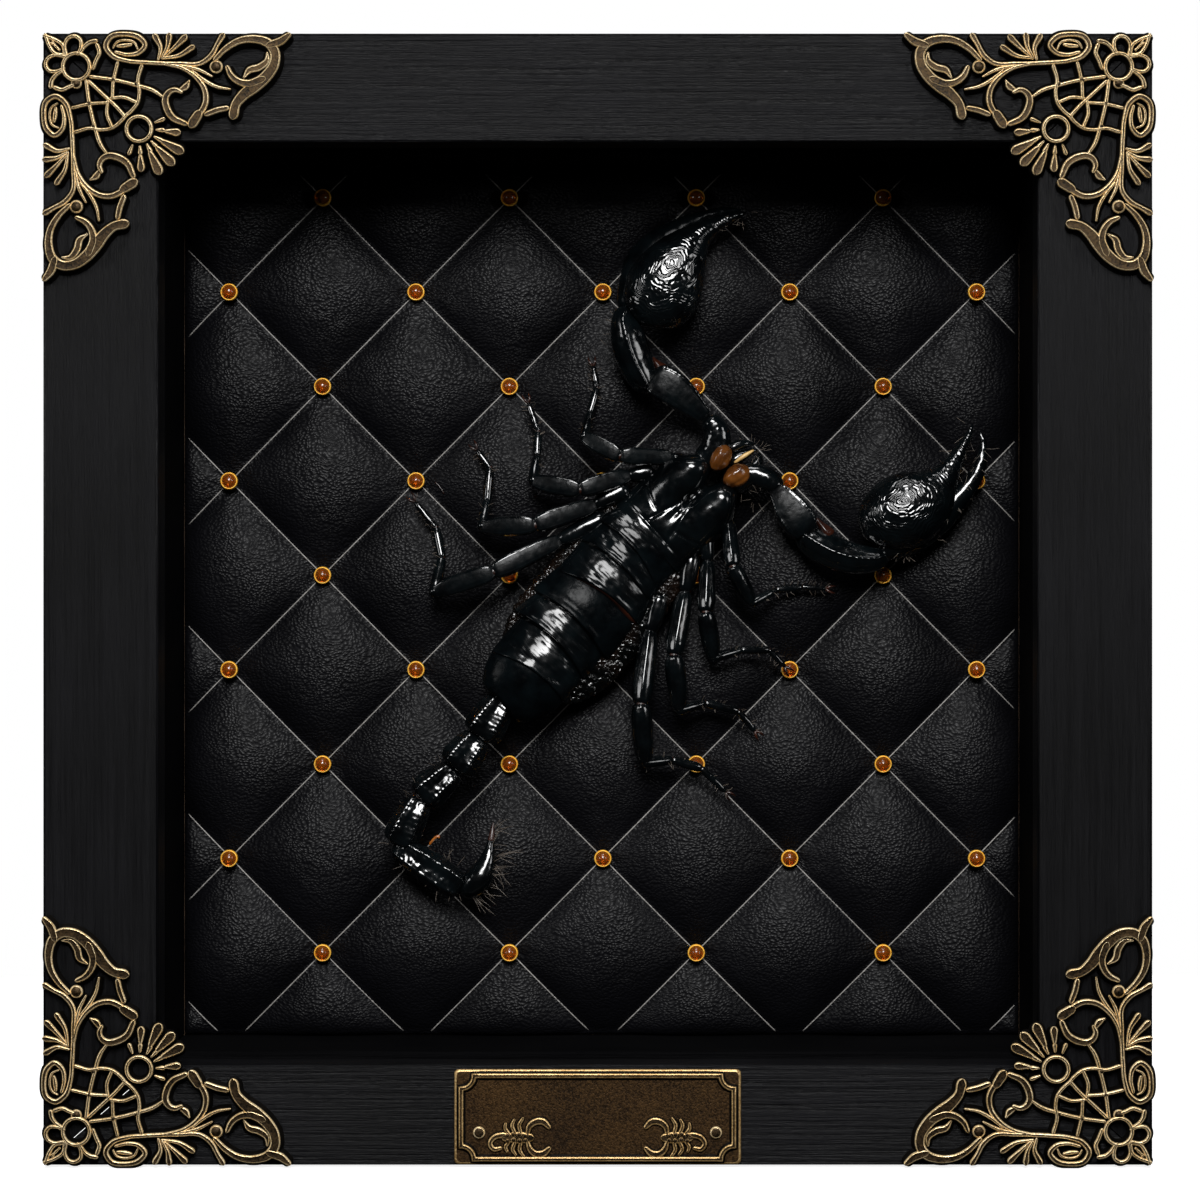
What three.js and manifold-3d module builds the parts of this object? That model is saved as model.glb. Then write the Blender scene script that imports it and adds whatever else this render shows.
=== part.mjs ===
// A dried scorpion mounted in a square shadow box: painted wooden frame with a lined recess,
// a button-tufted leather pad set with amber studs, cast brass corners and a small brass plate.
// Millimetres. X runs to the right, Z up, and the open front looks along -Y.
// The origin is under the middle of the box, on the surface that it stands on.

import * as THREE from 'three';
import { mergeVertices } from 'three/addons/utils/BufferGeometryUtils.js';
import Module from 'manifold-3d';

const wasm = await Module();
wasm.setup();

// Box
const FRAME_WIDTH = 200;
const FRAME_HEIGHT = 204;
const FRAME_DEPTH = 44;
const SIDE_RAIL = 20.8;
const TOP_RAIL = 19.7;
const BOTTOM_RAIL = 18.1;
const LIP_DEPTH = 10;
const RABBET_SHARE = 0.7;
const LINER_PROUD = 1.3;
const BOARD_THICKNESS = 3;
const FIT_GAP = 0.3;

// Tufted pad, its depths measured back from the front face of the rails
const STUD_PITCH_X = 17.62;
const STUD_PITCH_Z = 17.8;
const STUD_COUNT = 9;
const STUD_MIDDLE_X = 0.3;
const STUD_MIDDLE_Z = 106.5;
const SEAM_DEPTH = 36.5;
const PAD_CROWN = 3;
const PAD_EDGE_ROLL = 1.4;
const STUD_RADIUS = 1.65;
const STUD_HEIGHT = 1.9;
const STUD_LIFT = 1.1;

// Brass
const BRASS_THICKNESS = 2.4;
const PLATE_WIDTH = 51.6;
const PLATE_HEIGHT = 17.1;
const PLATE_BASE = 1.1;
const PLATE_BORDER = 0.8;
const PLATE_BOTTOM = 0.3;
const RIVET_RADIUS = 1.1;
const RIVET_HEIGHT = 0.7;

// Landmarks are read in a 1200 x 1200 picture taken from straight in front. These turn them into
// millimetres: the size of a pixel on the front face, the eye's distance, and the point it faces.
const PIXEL = 0.18026;
const EYE_DISTANCE = 765;
const EYE_PIXEL = [677, 600];
const BASE_PIXEL = [597.75, 1165];

// The specimen lies on the crowns of the pad; its lifts are measured up from here.
const SPECIMEN_DEPTH = 33;

const TOTAL_DEPTH = FRAME_DEPTH + FIT_GAP + BRASS_THICKNESS;
const FACE_Y = FIT_GAP + BRASS_THICKNESS - TOTAL_DEPTH / 2;

const COLOURS = {
  wood: { color: 0x1b1b1e, roughness: 0.6, metalness: 0 },
  liner: { color: 0x141416, roughness: 0.7, metalness: 0 },
  board: { color: 0x3a2c20, roughness: 0.8, metalness: 0 },
  leather: { color: 0x17161b, roughness: 0.5, metalness: 0 },
  amber: { color: 0xc9730f, roughness: 0.1, metalness: 0 },
  brass: { color: 0x7a6748, roughness: 0.4, metalness: 1 },
  shell: { color: 0x0d1214, roughness: 0.15, metalness: 0 },
};

const group = new THREE.Group();
group.name = 'framed_scorpion';

function place(name, geometry, colour) {
  const mesh = new THREE.Mesh(geometry, new THREE.MeshStandardMaterial(COLOURS[colour]));
  mesh.name = name;
  group.add(mesh);
  return mesh;
}

// Point of the picture at a depth behind the front face
function atDepth(px, py, depth) {
  const reach = (EYE_DISTANCE + depth) / EYE_DISTANCE;
  const x = EYE_PIXEL[0] - BASE_PIXEL[0] + (px - EYE_PIXEL[0]) * reach;
  const z = BASE_PIXEL[1] - EYE_PIXEL[1] + (EYE_PIXEL[1] - py) * reach;
  return new THREE.Vector3(x * PIXEL, FACE_Y + depth, z * PIXEL);
}

function onPad(px, py, lift) {
  return atDepth(px, py, SPECIMEN_DEPTH - lift);
}

// Closed solids, joined into one

function bare(geometry) {
  const plain = geometry.index ? geometry : mergeVertices(geometry);
  plain.deleteAttribute('normal');
  plain.deleteAttribute('uv');
  return mergeVertices(plain, 1e-4);
}

function turned(geometry) {
  const order = geometry.index.array;
  for (let i = 0; i < order.length; i += 3) {
    [order[i], order[i + 1]] = [order[i + 1], order[i]];
  }
  return geometry;
}

function solid(geometry) {
  const plain = bare(geometry);
  const mesh = new wasm.Mesh({
    numProp: 3,
    vertProperties: new Float32Array(plain.attributes.position.array),
    triVerts: new Uint32Array(plain.index.array),
  });
  mesh.merge();
  return new wasm.Manifold(mesh);
}

function fuse(geometries) {
  let whole = solid(geometries[0]);
  for (const geometry of geometries.slice(1)) {
    whole = whole.add(solid(geometry));
  }
  const mesh = whole.getMesh();
  const joined = new THREE.BufferGeometry();
  const positions = [];
  for (let i = 0; i < mesh.vertProperties.length; i += mesh.numProp) {
    positions.push(...mesh.vertProperties.slice(i, i + 3));
  }
  joined.setAttribute('position', new THREE.Float32BufferAttribute(positions, 3));
  joined.setIndex(Array.from(mesh.triVerts));
  return joined;
}

// Wooden frame: one section carried round a rectangle, with mitred ends

function mitredSides(names, outer, inner, section, colour) {
  const corner = (box, index) => [
    index === 1 || index === 2 ? box.right : box.left,
    index > 1 ? box.top : box.bottom,
  ];
  names.forEach((name, side) => {
    const shape = new THREE.Shape(section.map(([across, depth]) => new THREE.Vector2(across, depth)));
    const geometry = new THREE.ExtrudeGeometry(shape, { depth: 1, bevelEnabled: false });
    const [ax, az] = corner(outer, side);
    const [bx, bz] = corner(outer, (side + 1) % 4);
    const [cx, cz] = corner(inner, side);
    const [dx, dz] = corner(inner, (side + 1) % 4);
    const length = Math.hypot(bx - ax, bz - az);
    const trim = [(bx - ax) / length * FIT_GAP / 2, (bz - az) / length * FIT_GAP / 2];
    const spots = geometry.attributes.position;
    for (let i = 0; i < spots.count; i += 1) {
      const across = spots.getX(i);
      const depth = spots.getY(i);
      const far = spots.getZ(i) > 0.5;
      const x = far ? bx + (dx - bx) * across - trim[0] : ax + (cx - ax) * across + trim[0];
      const z = far ? bz + (dz - bz) * across - trim[1] : az + (cz - az) * across + trim[1];
      spots.setXYZ(i, x, FACE_Y + depth, z);
    }
    place(name, turned(bare(geometry)), colour);
  });
}

function inset(box, left, right, bottom, top) {
  return { left: box.left + left, right: box.right - right, bottom: box.bottom + bottom, top: box.top - top };
}

const outline = { left: -FRAME_WIDTH / 2, right: FRAME_WIDTH / 2, bottom: 0, top: FRAME_HEIGHT };
const mouth = inset(outline, SIDE_RAIL, SIDE_RAIL, BOTTOM_RAIL, TOP_RAIL);
const rabbet = inset(
  outline,
  SIDE_RAIL * RABBET_SHARE,
  SIDE_RAIL * RABBET_SHARE,
  BOTTOM_RAIL * RABBET_SHARE,
  TOP_RAIL * RABBET_SHARE,
);
const lined = inset(rabbet, FIT_GAP, FIT_GAP, FIT_GAP, FIT_GAP);
const recess = inset(mouth, 0, 0, LINER_PROUD, LINER_PROUD);
const boardFront = FRAME_DEPTH - BOARD_THICKNESS;

const railSection = [
  [0, 0],
  [1, 0],
  [1, LIP_DEPTH],
  [RABBET_SHARE, LIP_DEPTH],
  [RABBET_SHARE, FRAME_DEPTH],
  [0, FRAME_DEPTH],
];
mitredSides(
  ['rail_bottom', 'rail_right', 'rail_top', 'rail_left'], outline, mouth, railSection, 'wood');

const linerSection = [
  [0, LIP_DEPTH + FIT_GAP],
  [1, LIP_DEPTH + FIT_GAP],
  [1, boardFront - FIT_GAP],
  [0, boardFront - FIT_GAP],
];
mitredSides(
  ['liner_bottom', 'liner_right', 'liner_top', 'liner_left'], lined, recess, linerSection, 'liner');

const board = new THREE.BoxGeometry(
  lined.right - lined.left, BOARD_THICKNESS, lined.top - lined.bottom);
board.translate(0, FACE_Y + FRAME_DEPTH - BOARD_THICKNESS / 2, (lined.top + lined.bottom) / 2);
place('backing_board', bare(board), 'board');

// Tufted pad: pillows between seams that run diagonally from stud to stud

const padBox = inset(recess, FIT_GAP, FIT_GAP, FIT_GAP, FIT_GAP);
const firstColumn = STUD_MIDDLE_X - STUD_PITCH_X * (STUD_COUNT - 1) / 2;
const firstRow = STUD_MIDDLE_Z + STUD_PITCH_Z * (STUD_COUNT - 1) / 2;

function padDepth(x, z) {
  const column = (x - firstColumn) / STUD_PITCH_X;
  const row = (firstRow - z) / STUD_PITCH_Z;
  const rise = Math.abs(Math.cos(Math.PI * (column + row) / 2));
  const fall = Math.abs(Math.cos(Math.PI * (column - row) / 2));
  return SEAM_DEPTH - PAD_CROWN * (rise * fall) ** 0.6;
}

function halfSteps(low, high, first, pitch) {
  const lines = [low];
  for (let step = 0; step <= 2 * STUD_COUNT; step += 1) {
    const line = first + step * pitch / 2;
    if (line > low + 1 && line < high - 1) {
      lines.push(line);
    }
  }
  lines.push(high);
  return lines;
}

function tuftedPad() {
  const columns = halfSteps(padBox.left, padBox.right, firstColumn, STUD_PITCH_X);
  const lowestRow = firstRow - STUD_PITCH_Z * (STUD_COUNT - 0.5);
  const rows = halfSteps(padBox.bottom, padBox.top, lowestRow, STUD_PITCH_Z);
  const wide = columns.length;
  const spots = [];
  const faces = [];
  rows.forEach((z, j) => {
    columns.forEach((x, i) => {
      const rim = i === 0 || j === 0 || i === wide - 1 || j === rows.length - 1;
      spots.push(x, FACE_Y + padDepth(x, z) + (rim ? PAD_EDGE_ROLL : 0), z);
    });
  });
  const isStud = (x, z) => {
    const column = (x - firstColumn) / STUD_PITCH_X;
    const row = (firstRow - z) / STUD_PITCH_Z;
    const whole = Math.abs(column - Math.round(column)) + Math.abs(row - Math.round(row)) < 0.01;
    return whole && Math.abs(Math.round(column) + Math.round(row)) % 2 === 1;
  };
  for (let j = 0; j < rows.length - 1; j += 1) {
    for (let i = 0; i < wide - 1; i += 1) {
      const a = j * wide + i;
      const b = a + 1;
      const c = a + wide + 1;
      const d = a + wide;
      const alongSeam = isStud(columns[i], rows[j]) || isStud(columns[i + 1], rows[j + 1]);
      const acrossCrown = !isStud(columns[i + 1], rows[j]) && !isStud(columns[i], rows[j + 1]);
      if (alongSeam || acrossCrown) {
        faces.push(a, b, c, a, c, d);
      } else {
        faces.push(a, b, d, b, c, d);
      }
    }
  }
  const back = FACE_Y + boardFront - FIT_GAP;
  const foot = spots.length / 3;
  spots.push(padBox.left, back, padBox.bottom, padBox.right, back, padBox.bottom);
  spots.push(padBox.right, back, padBox.top, padBox.left, back, padBox.top);
  const last = rows.length - 1;
  const rims = [
    columns.map((x, i) => i),
    rows.map((z, j) => j * wide + wide - 1),
    columns.map((x, i) => last * wide + wide - 1 - i),
    rows.map((z, j) => (last - j) * wide),
  ];
  rims.forEach((rim, side) => {
    const near = foot + side;
    const next = foot + (side + 1) % 4;
    for (let k = 0; k < rim.length - 1; k += 1) {
      faces.push(rim[k + 1], rim[k], near);
    }
    faces.push(rim[rim.length - 1], near, next);
  });
  faces.push(foot, foot + 2, foot + 1, foot, foot + 3, foot + 2);
  const geometry = new THREE.BufferGeometry();
  geometry.setAttribute('position', new THREE.Float32BufferAttribute(spots, 3));
  geometry.setIndex(faces);
  return geometry;
}

place('quilted_pad', tuftedPad(), 'leather');

// Amber studs, one on every crossing of the seams
for (let row = 0; row < STUD_COUNT; row += 1) {
  for (let column = (row + 1) % 2; column < STUD_COUNT; column += 2) {
    const profile = [
      new THREE.Vector2(0, 0),
      new THREE.Vector2(STUD_RADIUS, 0),
      new THREE.Vector2(STUD_RADIUS * 0.8, STUD_HEIGHT * 0.65),
      new THREE.Vector2(0, STUD_HEIGHT),
    ];
    const stud = new THREE.LatheGeometry(profile, 8);
    stud.rotateX(Math.PI);
    const x = firstColumn + column * STUD_PITCH_X;
    const z = firstRow - row * STUD_PITCH_Z;
    stud.translate(x, FACE_Y + SEAM_DEPTH - STUD_LIFT, z);
    place(`stud_${row + 1}_${column + 1}`, bare(stud), 'amber');
  }
}

// Brass corners: cast scrollwork, drawn for the upper left corner in pixels along the top edge and
// down the side edge, and the same on both sides of the diagonal

function band(points, widths, closed) {
  const curve = new THREE.CatmullRomCurve3(points.map(([a, b]) => new THREE.Vector3(a, b, 0)), closed);
  const count = Math.floor((points.length - 1) * 1.5);
  const left = [];
  const right = [];
  for (let i = 0; i <= count; i += 1) {
    const share = i / count;
    const spot = curve.getPoint(share);
    const way = curve.getTangent(share);
    const half = THREE.MathUtils.lerp(widths[0], widths[1], share) / 2;
    left.push(new THREE.Vector2(spot.x - way.y * half, spot.y + way.x * half));
    right.unshift(new THREE.Vector2(spot.x + way.y * half, spot.y - way.x * half));
  }
  return new THREE.Shape(left.concat(right));
}

function disc(a, b, radiusA, radiusB, hole) {
  const shape = new THREE.Shape();
  shape.absellipse(a, b, radiusA, radiusB, 0, 2 * Math.PI);
  if (hole) {
    const inside = new THREE.Path();
    inside.absellipse(a, b, hole, hole, 0, 2 * Math.PI, true);
    shape.holes.push(inside);
  }
  return shape;
}

function loop(points, hole) {
  const shape = new THREE.Shape(points.map(([a, b]) => new THREE.Vector2(a, b)));
  if (hole) {
    shape.holes.push(new THREE.Path(hole.map(([a, b]) => new THREE.Vector2(a, b))));
  }
  return shape;
}

const CORNER_HALF = [
  disc(84, 14, 22, 13),
  band([[66, 26], [105, 32], [150, 33], [172, 26], [180, 6]], [10, 9]),
  loop([[117, 30], [108, 3], [146, 3], [153, 17], [140, 30]]),
  loop(
    [[170, 28], [184, 9], [206, 1], [248, 1], [243, 28], [226, 55], [200, 76], [189, 88], [184, 78],
      [196, 66], [186, 54], [176, 40]],
    [[187, 24], [190, 40], [203, 47], [222, 40], [230, 22], [213, 12]]),
  band([[128, 32], [158, 46], [166, 66], [156, 90]], [7, 7]),
  band([[157, 88], [130, 86], [122, 70], [136, 58]], [12, 10]),
  band([[166, 76], [190, 78]], [5, 5]),
  band([[100, 34], [88, 84]], [4, 4]),
  band([[48, 44], [126, 64]], [4, 4]),
  loop([[40, 26], [46, 8], [56, 8], [59, 22], [50, 34]]),
];

const CORNER_MIDDLE = [
  disc(35, 35, 16, 16, 9),
  loop([[1, 1], [31, 20], [20, 31]]),
  band([[45, 45], [90, 90]], [5, 5]),
  disc(97.5, 97.5, 15, 15, 9),
  loop([[104, 90], [122, 84], [138, 98], [139, 122], [122, 139], [98, 138], [84, 122], [90, 104]]),
];

function corner(name, mirrorX, mirrorZ) {
  const outlineX = mirrorX ? outline.right : outline.left;
  const outlineZ = mirrorZ ? outline.bottom : outline.top;
  const pieces = [];
  const cast = (shape, swap) => {
    const geometry = new THREE.ExtrudeGeometry(shape, {
      depth: BRASS_THICKNESS, bevelEnabled: false, curveSegments: 4, steps: 1,
    });
    const flips = (swap ? 1 : 0) + (mirrorX ? 1 : 0) + (mirrorZ ? 1 : 0);
    const spots = geometry.attributes.position;
    for (let i = 0; i < spots.count; i += 1) {
      const along = swap ? spots.getY(i) : spots.getX(i);
      const down = swap ? spots.getX(i) : spots.getY(i);
      const x = outlineX + (mirrorX ? -along : along) * PIXEL;
      const z = outlineZ + (mirrorZ ? down : -down) * PIXEL;
      spots.setXYZ(i, x, FACE_Y - FIT_GAP - BRASS_THICKNESS + spots.getZ(i), z);
    }
    const plain = bare(geometry);
    pieces.push(flips % 2 === 1 ? turned(plain) : plain);
  };
  CORNER_MIDDLE.forEach((shape) => cast(shape, false));
  CORNER_HALF.forEach((shape) => {
    cast(shape, false);
    cast(shape, true);
  });
  place(name, fuse(pieces), 'brass');
}

corner('corner_top_left', false, false);
corner('corner_top_right', true, false);
corner('corner_bottom_left', false, true);
corner('corner_bottom_right', true, true);

// Brass plate on the bottom rail, with a raised border whose corners are notched in a quarter round

function notched(width, height, notch) {
  const shape = new THREE.Shape();
  const x = width / 2;
  const y = height / 2;
  shape.moveTo(-x + notch, -y);
  shape.lineTo(x - notch, -y);
  shape.absarc(x, -y, notch, Math.PI, Math.PI / 2, true);
  shape.lineTo(x, y - notch);
  shape.absarc(x, y, notch, 1.5 * Math.PI, Math.PI, true);
  shape.lineTo(-x + notch, y);
  shape.absarc(-x, y, notch, 0, -Math.PI / 2, true);
  shape.lineTo(-x, -y + notch);
  shape.absarc(-x, -y, notch, Math.PI / 2, 0, true);
  return shape;
}

const plateZ = PLATE_BOTTOM + PLATE_HEIGHT / 2;
const plateFace = FACE_Y - FIT_GAP - PLATE_BASE;

function plate() {
  const base = new THREE.BoxGeometry(PLATE_WIDTH, PLATE_BASE, PLATE_HEIGHT);
  base.translate(0, FACE_Y - FIT_GAP - PLATE_BASE / 2, plateZ);
  const ring = notched(PLATE_WIDTH - 1.6, PLATE_HEIGHT - 1.6, 1.9);
  ring.holes.push(notched(PLATE_WIDTH - 3.6, PLATE_HEIGHT - 3.6, 1.9));
  const border = new THREE.ExtrudeGeometry(ring, {
    depth: PLATE_BORDER + 0.2, bevelEnabled: false, curveSegments: 3, steps: 1,
  });
  border.rotateX(Math.PI / 2);
  border.translate(0, plateFace + 0.2, plateZ);
  return fuse([base, border]);
}

place('name_plate', plate(), 'brass');

for (const side of [-1, 1]) {
  const profile = [
    new THREE.Vector2(0, 0),
    new THREE.Vector2(RIVET_RADIUS, 0),
    new THREE.Vector2(RIVET_RADIUS * 0.7, RIVET_HEIGHT * 0.75),
    new THREE.Vector2(0, RIVET_HEIGHT),
  ];
  const rivet = new THREE.LatheGeometry(profile, 10);
  rivet.rotateX(Math.PI);
  rivet.translate(side * 21.3, plateFace - FIT_GAP, 6.1);
  place(side < 0 ? 'plate_rivet_left' : 'plate_rivet_right', bare(rivet), 'brass');
}

// Scorpion, grown as one piece: lofted parts of body, tail, pincers and legs, fused together

// Stations are [x, y, lift, half width, half height]: pixels, millimetres, pixels, millimetres.
function loft(stations, sides) {
  const centres = stations.map(([px, py, lift]) => onPad(px, py, lift));
  const geometry = new THREE.CylinderGeometry(1, 1, 1, sides, stations.length - 1);
  const outward = new THREE.Vector3(0, -1, 0);
  const frames = centres.map((centre, i) => {
    const before = centres[Math.max(i - 1, 0)];
    const after = centres[Math.min(i + 1, centres.length - 1)];
    const way = after.clone().sub(before).normalize();
    const across = outward.clone().cross(way).normalize();
    return { centre, across, up: way.clone().cross(across) };
  });
  const spots = geometry.attributes.position;
  for (let i = 0; i < spots.count; i += 1) {
    const index = Math.round((0.5 - spots.getY(i)) * (stations.length - 1));
    const { centre, across, up } = frames[index];
    const spot = centre.clone();
    spot.addScaledVector(across, spots.getX(i) * stations[index][3] * PIXEL);
    spot.addScaledVector(up, spots.getZ(i) * stations[index][4]);
    spots.setXYZ(i, spot.x, spot.y, spot.z);
  }
  return geometry;
}

const CARAPACE = [[650, 537, 5.2, 46, 4.6], [682, 508, 5.2, 48, 4.7], [708, 484, 5, 40, 4]];
const CARAPACE_LOBES = [
  [[680, 484, 5.2, 20, 4.2], [694, 471, 5.4, 21, 4.2], [706, 459, 5, 12, 2.6]],
  [[704, 506, 5.2, 20, 4.2], [719, 496, 5.4, 20, 4.2], [732, 487, 5, 11, 2.6]],
];
const CHELICERAE = [
  [[708, 470, 5.2, 10, 2.2], [724, 456, 6, 12, 2.6], [742, 444, 5, 4, 1]],
  [[718, 488, 5.2, 10, 2.2], [738, 475, 6, 13, 2.6], [757, 462, 5, 4, 1]],
];

// Back plates of the abdomen: the middle of each rear edge and the half width there
const TERGITES = [
  [634, 550, 47], [620, 565, 48], [602, 592, 50], [575, 620, 52], [555, 640, 50], [533, 672, 46],
  [500, 703, 22],
];
const BELLY = [
  [672, 521, 3, 44, 2.4], [634, 558, 3.2, 58, 2.6], [590, 612, 3.2, 64, 2.7], [552, 656, 3.2, 58, 2.6],
  [520, 690, 3.4, 34, 2.4],
];

function body() {
  const parts = [loft(CARAPACE, 10), loft(BELLY, 8)];
  CARAPACE_LOBES.forEach((stations) => parts.push(loft(stations, 8)));
  CHELICERAE.forEach((stations) => parts.push(loft(stations, 6)));
  let [x, y] = CARAPACE[0];
  TERGITES.forEach(([edgeX, edgeY, half], i) => {
    if (i < TERGITES.length - 1) {
      parts.push(loft([[x, y, 5, half - 4, 4.2], [edgeX, edgeY, 5, half, 4.6]], 10));
    } else {
      const middle = [(x + edgeX) / 2, (y + edgeY) / 2];
      parts.push(loft([[x, y, 4.8, 42, 4], [...middle, 4.8, 42, 4], [edgeX, edgeY, 4.6, half, 3]], 10));
    }
    [x, y] = [edgeX, edgeY];
  });
  return parts;
}

// Tail joints with the half width of the segment that follows, then the sting
const TAIL_JOINTS = [
  [503, 698, 18], [478, 737, 18], [454, 769, 17], [420, 799, 16], [397, 846, 16], [462, 889, 13],
];
const STING = [
  [472, 885, 4.4, 13, 2.6], [483, 873, 4.6, 13, 2.6], [488, 856, 4.8, 7, 1.5], [491, 840, 4.8, 4, 0.8],
  [493, 824, 4.6, 1, 0.2],
];

function tail() {
  const stations = [];
  TAIL_JOINTS.slice(0, -1).forEach(([x, y, half], i) => {
    const [nextX, nextY] = TAIL_JOINTS[i + 1];
    const at = (share) => [x + (nextX - x) * share, y + (nextY - y) * share, 4.2];
    stations.push([...at(0), half * 0.7, 2.3], [...at(0.3), half, 3.1], [...at(0.75), half, 3.2]);
  });
  stations.push([462, 889, 4.2, 8, 1.8]);
  return loft(stations.concat(STING), 8);
}

// Pincer arms from the body outwards, then the hand, the fixed finger and the moving finger
const UPPER_ARM = [
  [700, 466, 4.6, 14, 2.6], [718, 444, 4.8, 14, 2.6], [708, 421, 5, 10, 2.2], [696, 406, 5.2, 14, 2.7],
  [674, 390, 5.4, 15, 2.9], [650, 381, 5.2, 11, 2.3], [640, 370, 5.2, 15, 2.7], [630, 345, 5.4, 17, 3],
  [626, 318, 5.4, 12, 2.5], [630, 302, 5.4, 9, 2],
];
const UPPER_HAND = [
  [627, 312, 5.2, 9, 2], [640, 300, 5.3, 28, 4], [660, 282, 5.4, 40, 5], [678, 260, 5.4, 37, 4.9],
  [694, 242, 5.2, 24, 3.6], [706, 230, 5, 13, 2.4],
];
const UPPER_FINGERS = [
  [[690, 246, 4.8, 12, 2.2], [720, 227, 4.4, 7, 1.5], [746, 213, 4, 1, 0.3]],
  [[664, 246, 4, 13, 2.2], [700, 222, 3.6, 8, 1.6], [742, 210, 3.4, 1, 0.3]],
];
const RIGHT_ARM = [
  [728, 486, 4.6, 14, 2.6], [752, 473, 4.8, 12, 2.4], [776, 489, 5, 10, 2.2], [786, 503, 5.2, 14, 2.7],
  [799, 521, 5.4, 17, 3], [808, 538, 5.2, 12, 2.4], [820, 545, 5.2, 14, 2.6], [840, 553, 5.4, 16, 2.9],
  [866, 556, 5.4, 13, 2.5], [888, 556, 5.4, 9, 2],
];
const RIGHT_HAND = [
  [880, 562, 5.2, 9, 2], [890, 543, 5.3, 30, 4], [904, 515, 5.4, 40, 5], [922, 497, 5.4, 36, 4.8],
  [940, 486, 5.2, 23, 3.5], [952, 478, 5, 13, 2.4],
];
const RIGHT_FINGERS = [
  [[940, 488, 4.8, 12, 2.2], [959, 461, 4.4, 7, 1.5], [972, 426, 4, 1, 0.3]],
  [[946, 504, 4, 12, 2.2], [974, 473, 3.6, 7, 1.5], [982, 448, 3.4, 4, 0.9], [978, 428, 3.2, 1, 0.3]],
];

function arm(limb, hand, fingers) {
  return [loft(limb, 8), loft(hand, 10), ...fingers.map((finger) => loft(finger, 6))];
}

// Legs from the body outwards: ends of trochanter, femur, patella, tibia, basitarsus and tarsus
const LEG_LIFTS = [4, 4.6, 7.2, 5.4, 3, 1.8, 1.1];
const LEFT_LEGS = [
  [[690, 466], [670, 457], [620, 456], [584, 437], [590, 413], [597, 388], [593, 365]],
  [[652, 472], [628, 475], [580, 490], [533, 481], [537, 456], [538, 432], [528, 402]],
  [[626, 489], [594, 505], [535, 525], [482, 527], [487, 502], [490, 468], [476, 449]],
  [[604, 518], [558, 541], [493, 572], [434, 592], [442, 558], [436, 528], [414, 501]],
];
const RIGHT_LEGS = [
  [[716, 500], [728, 520], [733, 566], [752, 603], [776, 590], [802, 587], [827, 589]],
  [[704, 528], [708, 562], [706, 612], [714, 658], [741, 650], [769, 650], [786, 668]],
  [[692, 556], [685, 593], [674, 655], [680, 710], [705, 703], [738, 711], [756, 732]],
  [[660, 596], [650, 632], [641, 704], [645, 763], [672, 760], [701, 768], [727, 793]],
];

function leg(joints) {
  const at = (index, share) => {
    const next = Math.min(index + 1, joints.length - 1);
    const x = THREE.MathUtils.lerp(joints[index][0], joints[next][0], share);
    const y = THREE.MathUtils.lerp(joints[index][1], joints[next][1], share);
    return [x, y, THREE.MathUtils.lerp(LEG_LIFTS[index], LEG_LIFTS[next], share)];
  };
  return loft([
    [...at(0, 0), 9, 1.7],
    [...at(1, 0), 6, 1.3],
    [...at(1, 0.5), 9, 1.7],
    [...at(2, 0), 5, 1.1],
    [...at(2, 0.45), 8.5, 1.6],
    [...at(3, 0), 4.5, 1],
    [...at(4, 0), 3.6, 0.75],
    [...at(5, 0), 3, 0.6],
    [...at(6, 0), 1.2, 0.3],
  ], 6);
}

const scorpion = fuse([
  ...body(),
  tail(),
  ...arm(UPPER_ARM, UPPER_HAND, UPPER_FINGERS),
  ...arm(RIGHT_ARM, RIGHT_HAND, RIGHT_FINGERS),
  ...LEFT_LEGS.map(leg),
  ...RIGHT_LEGS.map(leg),
]);
place('scorpion', scorpion, 'shell');

export default group;
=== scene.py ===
"""A dried scorpion in a deep black box frame: tufted leather pad, amber studs, brass corners, brass plate."""
import math
import bmesh
import bpy
import numpy as np
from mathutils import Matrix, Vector


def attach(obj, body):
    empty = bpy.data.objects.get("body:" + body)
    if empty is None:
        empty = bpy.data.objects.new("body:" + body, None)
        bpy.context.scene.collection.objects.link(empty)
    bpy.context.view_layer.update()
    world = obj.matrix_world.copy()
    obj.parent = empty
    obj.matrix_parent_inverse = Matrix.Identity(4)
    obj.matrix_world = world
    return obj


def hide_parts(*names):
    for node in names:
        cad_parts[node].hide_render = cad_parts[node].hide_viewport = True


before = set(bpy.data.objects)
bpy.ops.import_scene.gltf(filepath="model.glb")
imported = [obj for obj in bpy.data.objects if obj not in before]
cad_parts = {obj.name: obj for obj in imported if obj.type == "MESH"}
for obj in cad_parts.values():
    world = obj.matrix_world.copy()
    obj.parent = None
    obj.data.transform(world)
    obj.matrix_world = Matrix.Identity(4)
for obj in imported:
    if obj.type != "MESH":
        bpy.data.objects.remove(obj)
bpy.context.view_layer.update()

MM = 0.001

# Sizes of the box in millimetres, as in the solids
FRAME_WIDTH, FRAME_HEIGHT, FRAME_DEPTH = 200.0, 204.0, 44.0
SIDE_RAIL, TOP_RAIL, BOTTOM_RAIL = 20.8, 19.7, 18.1
LIP_DEPTH, RABBET_SHARE, LINER_PROUD = 10.0, 0.7, 1.3
BOARD_THICKNESS, FIT_GAP = 3.0, 0.3
FACE_Y = -20.65
STUD_PITCH_X, STUD_PITCH_Z = 17.62, 17.8
STUD_COUNT = 9
STUD_MIDDLE_X, STUD_MIDDLE_Z = 0.3, 106.5
SEAM_DEPTH, PAD_CROWN, GROOVE = 36.5, 3.0, 0.04
STUD_LIFT = 1.1
THREAD_RADIUS, THREAD_LIFT, THREAD_MARGIN = 0.125, 0.08, 0.2
RAIL_ROUND, LINER_ROUND, PAD_FLARE = 0.45, 0.5, 0.27
STUD_SIDES, KNOB_SIDES, RIVET_SIDES = 28, 24, 28
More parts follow.
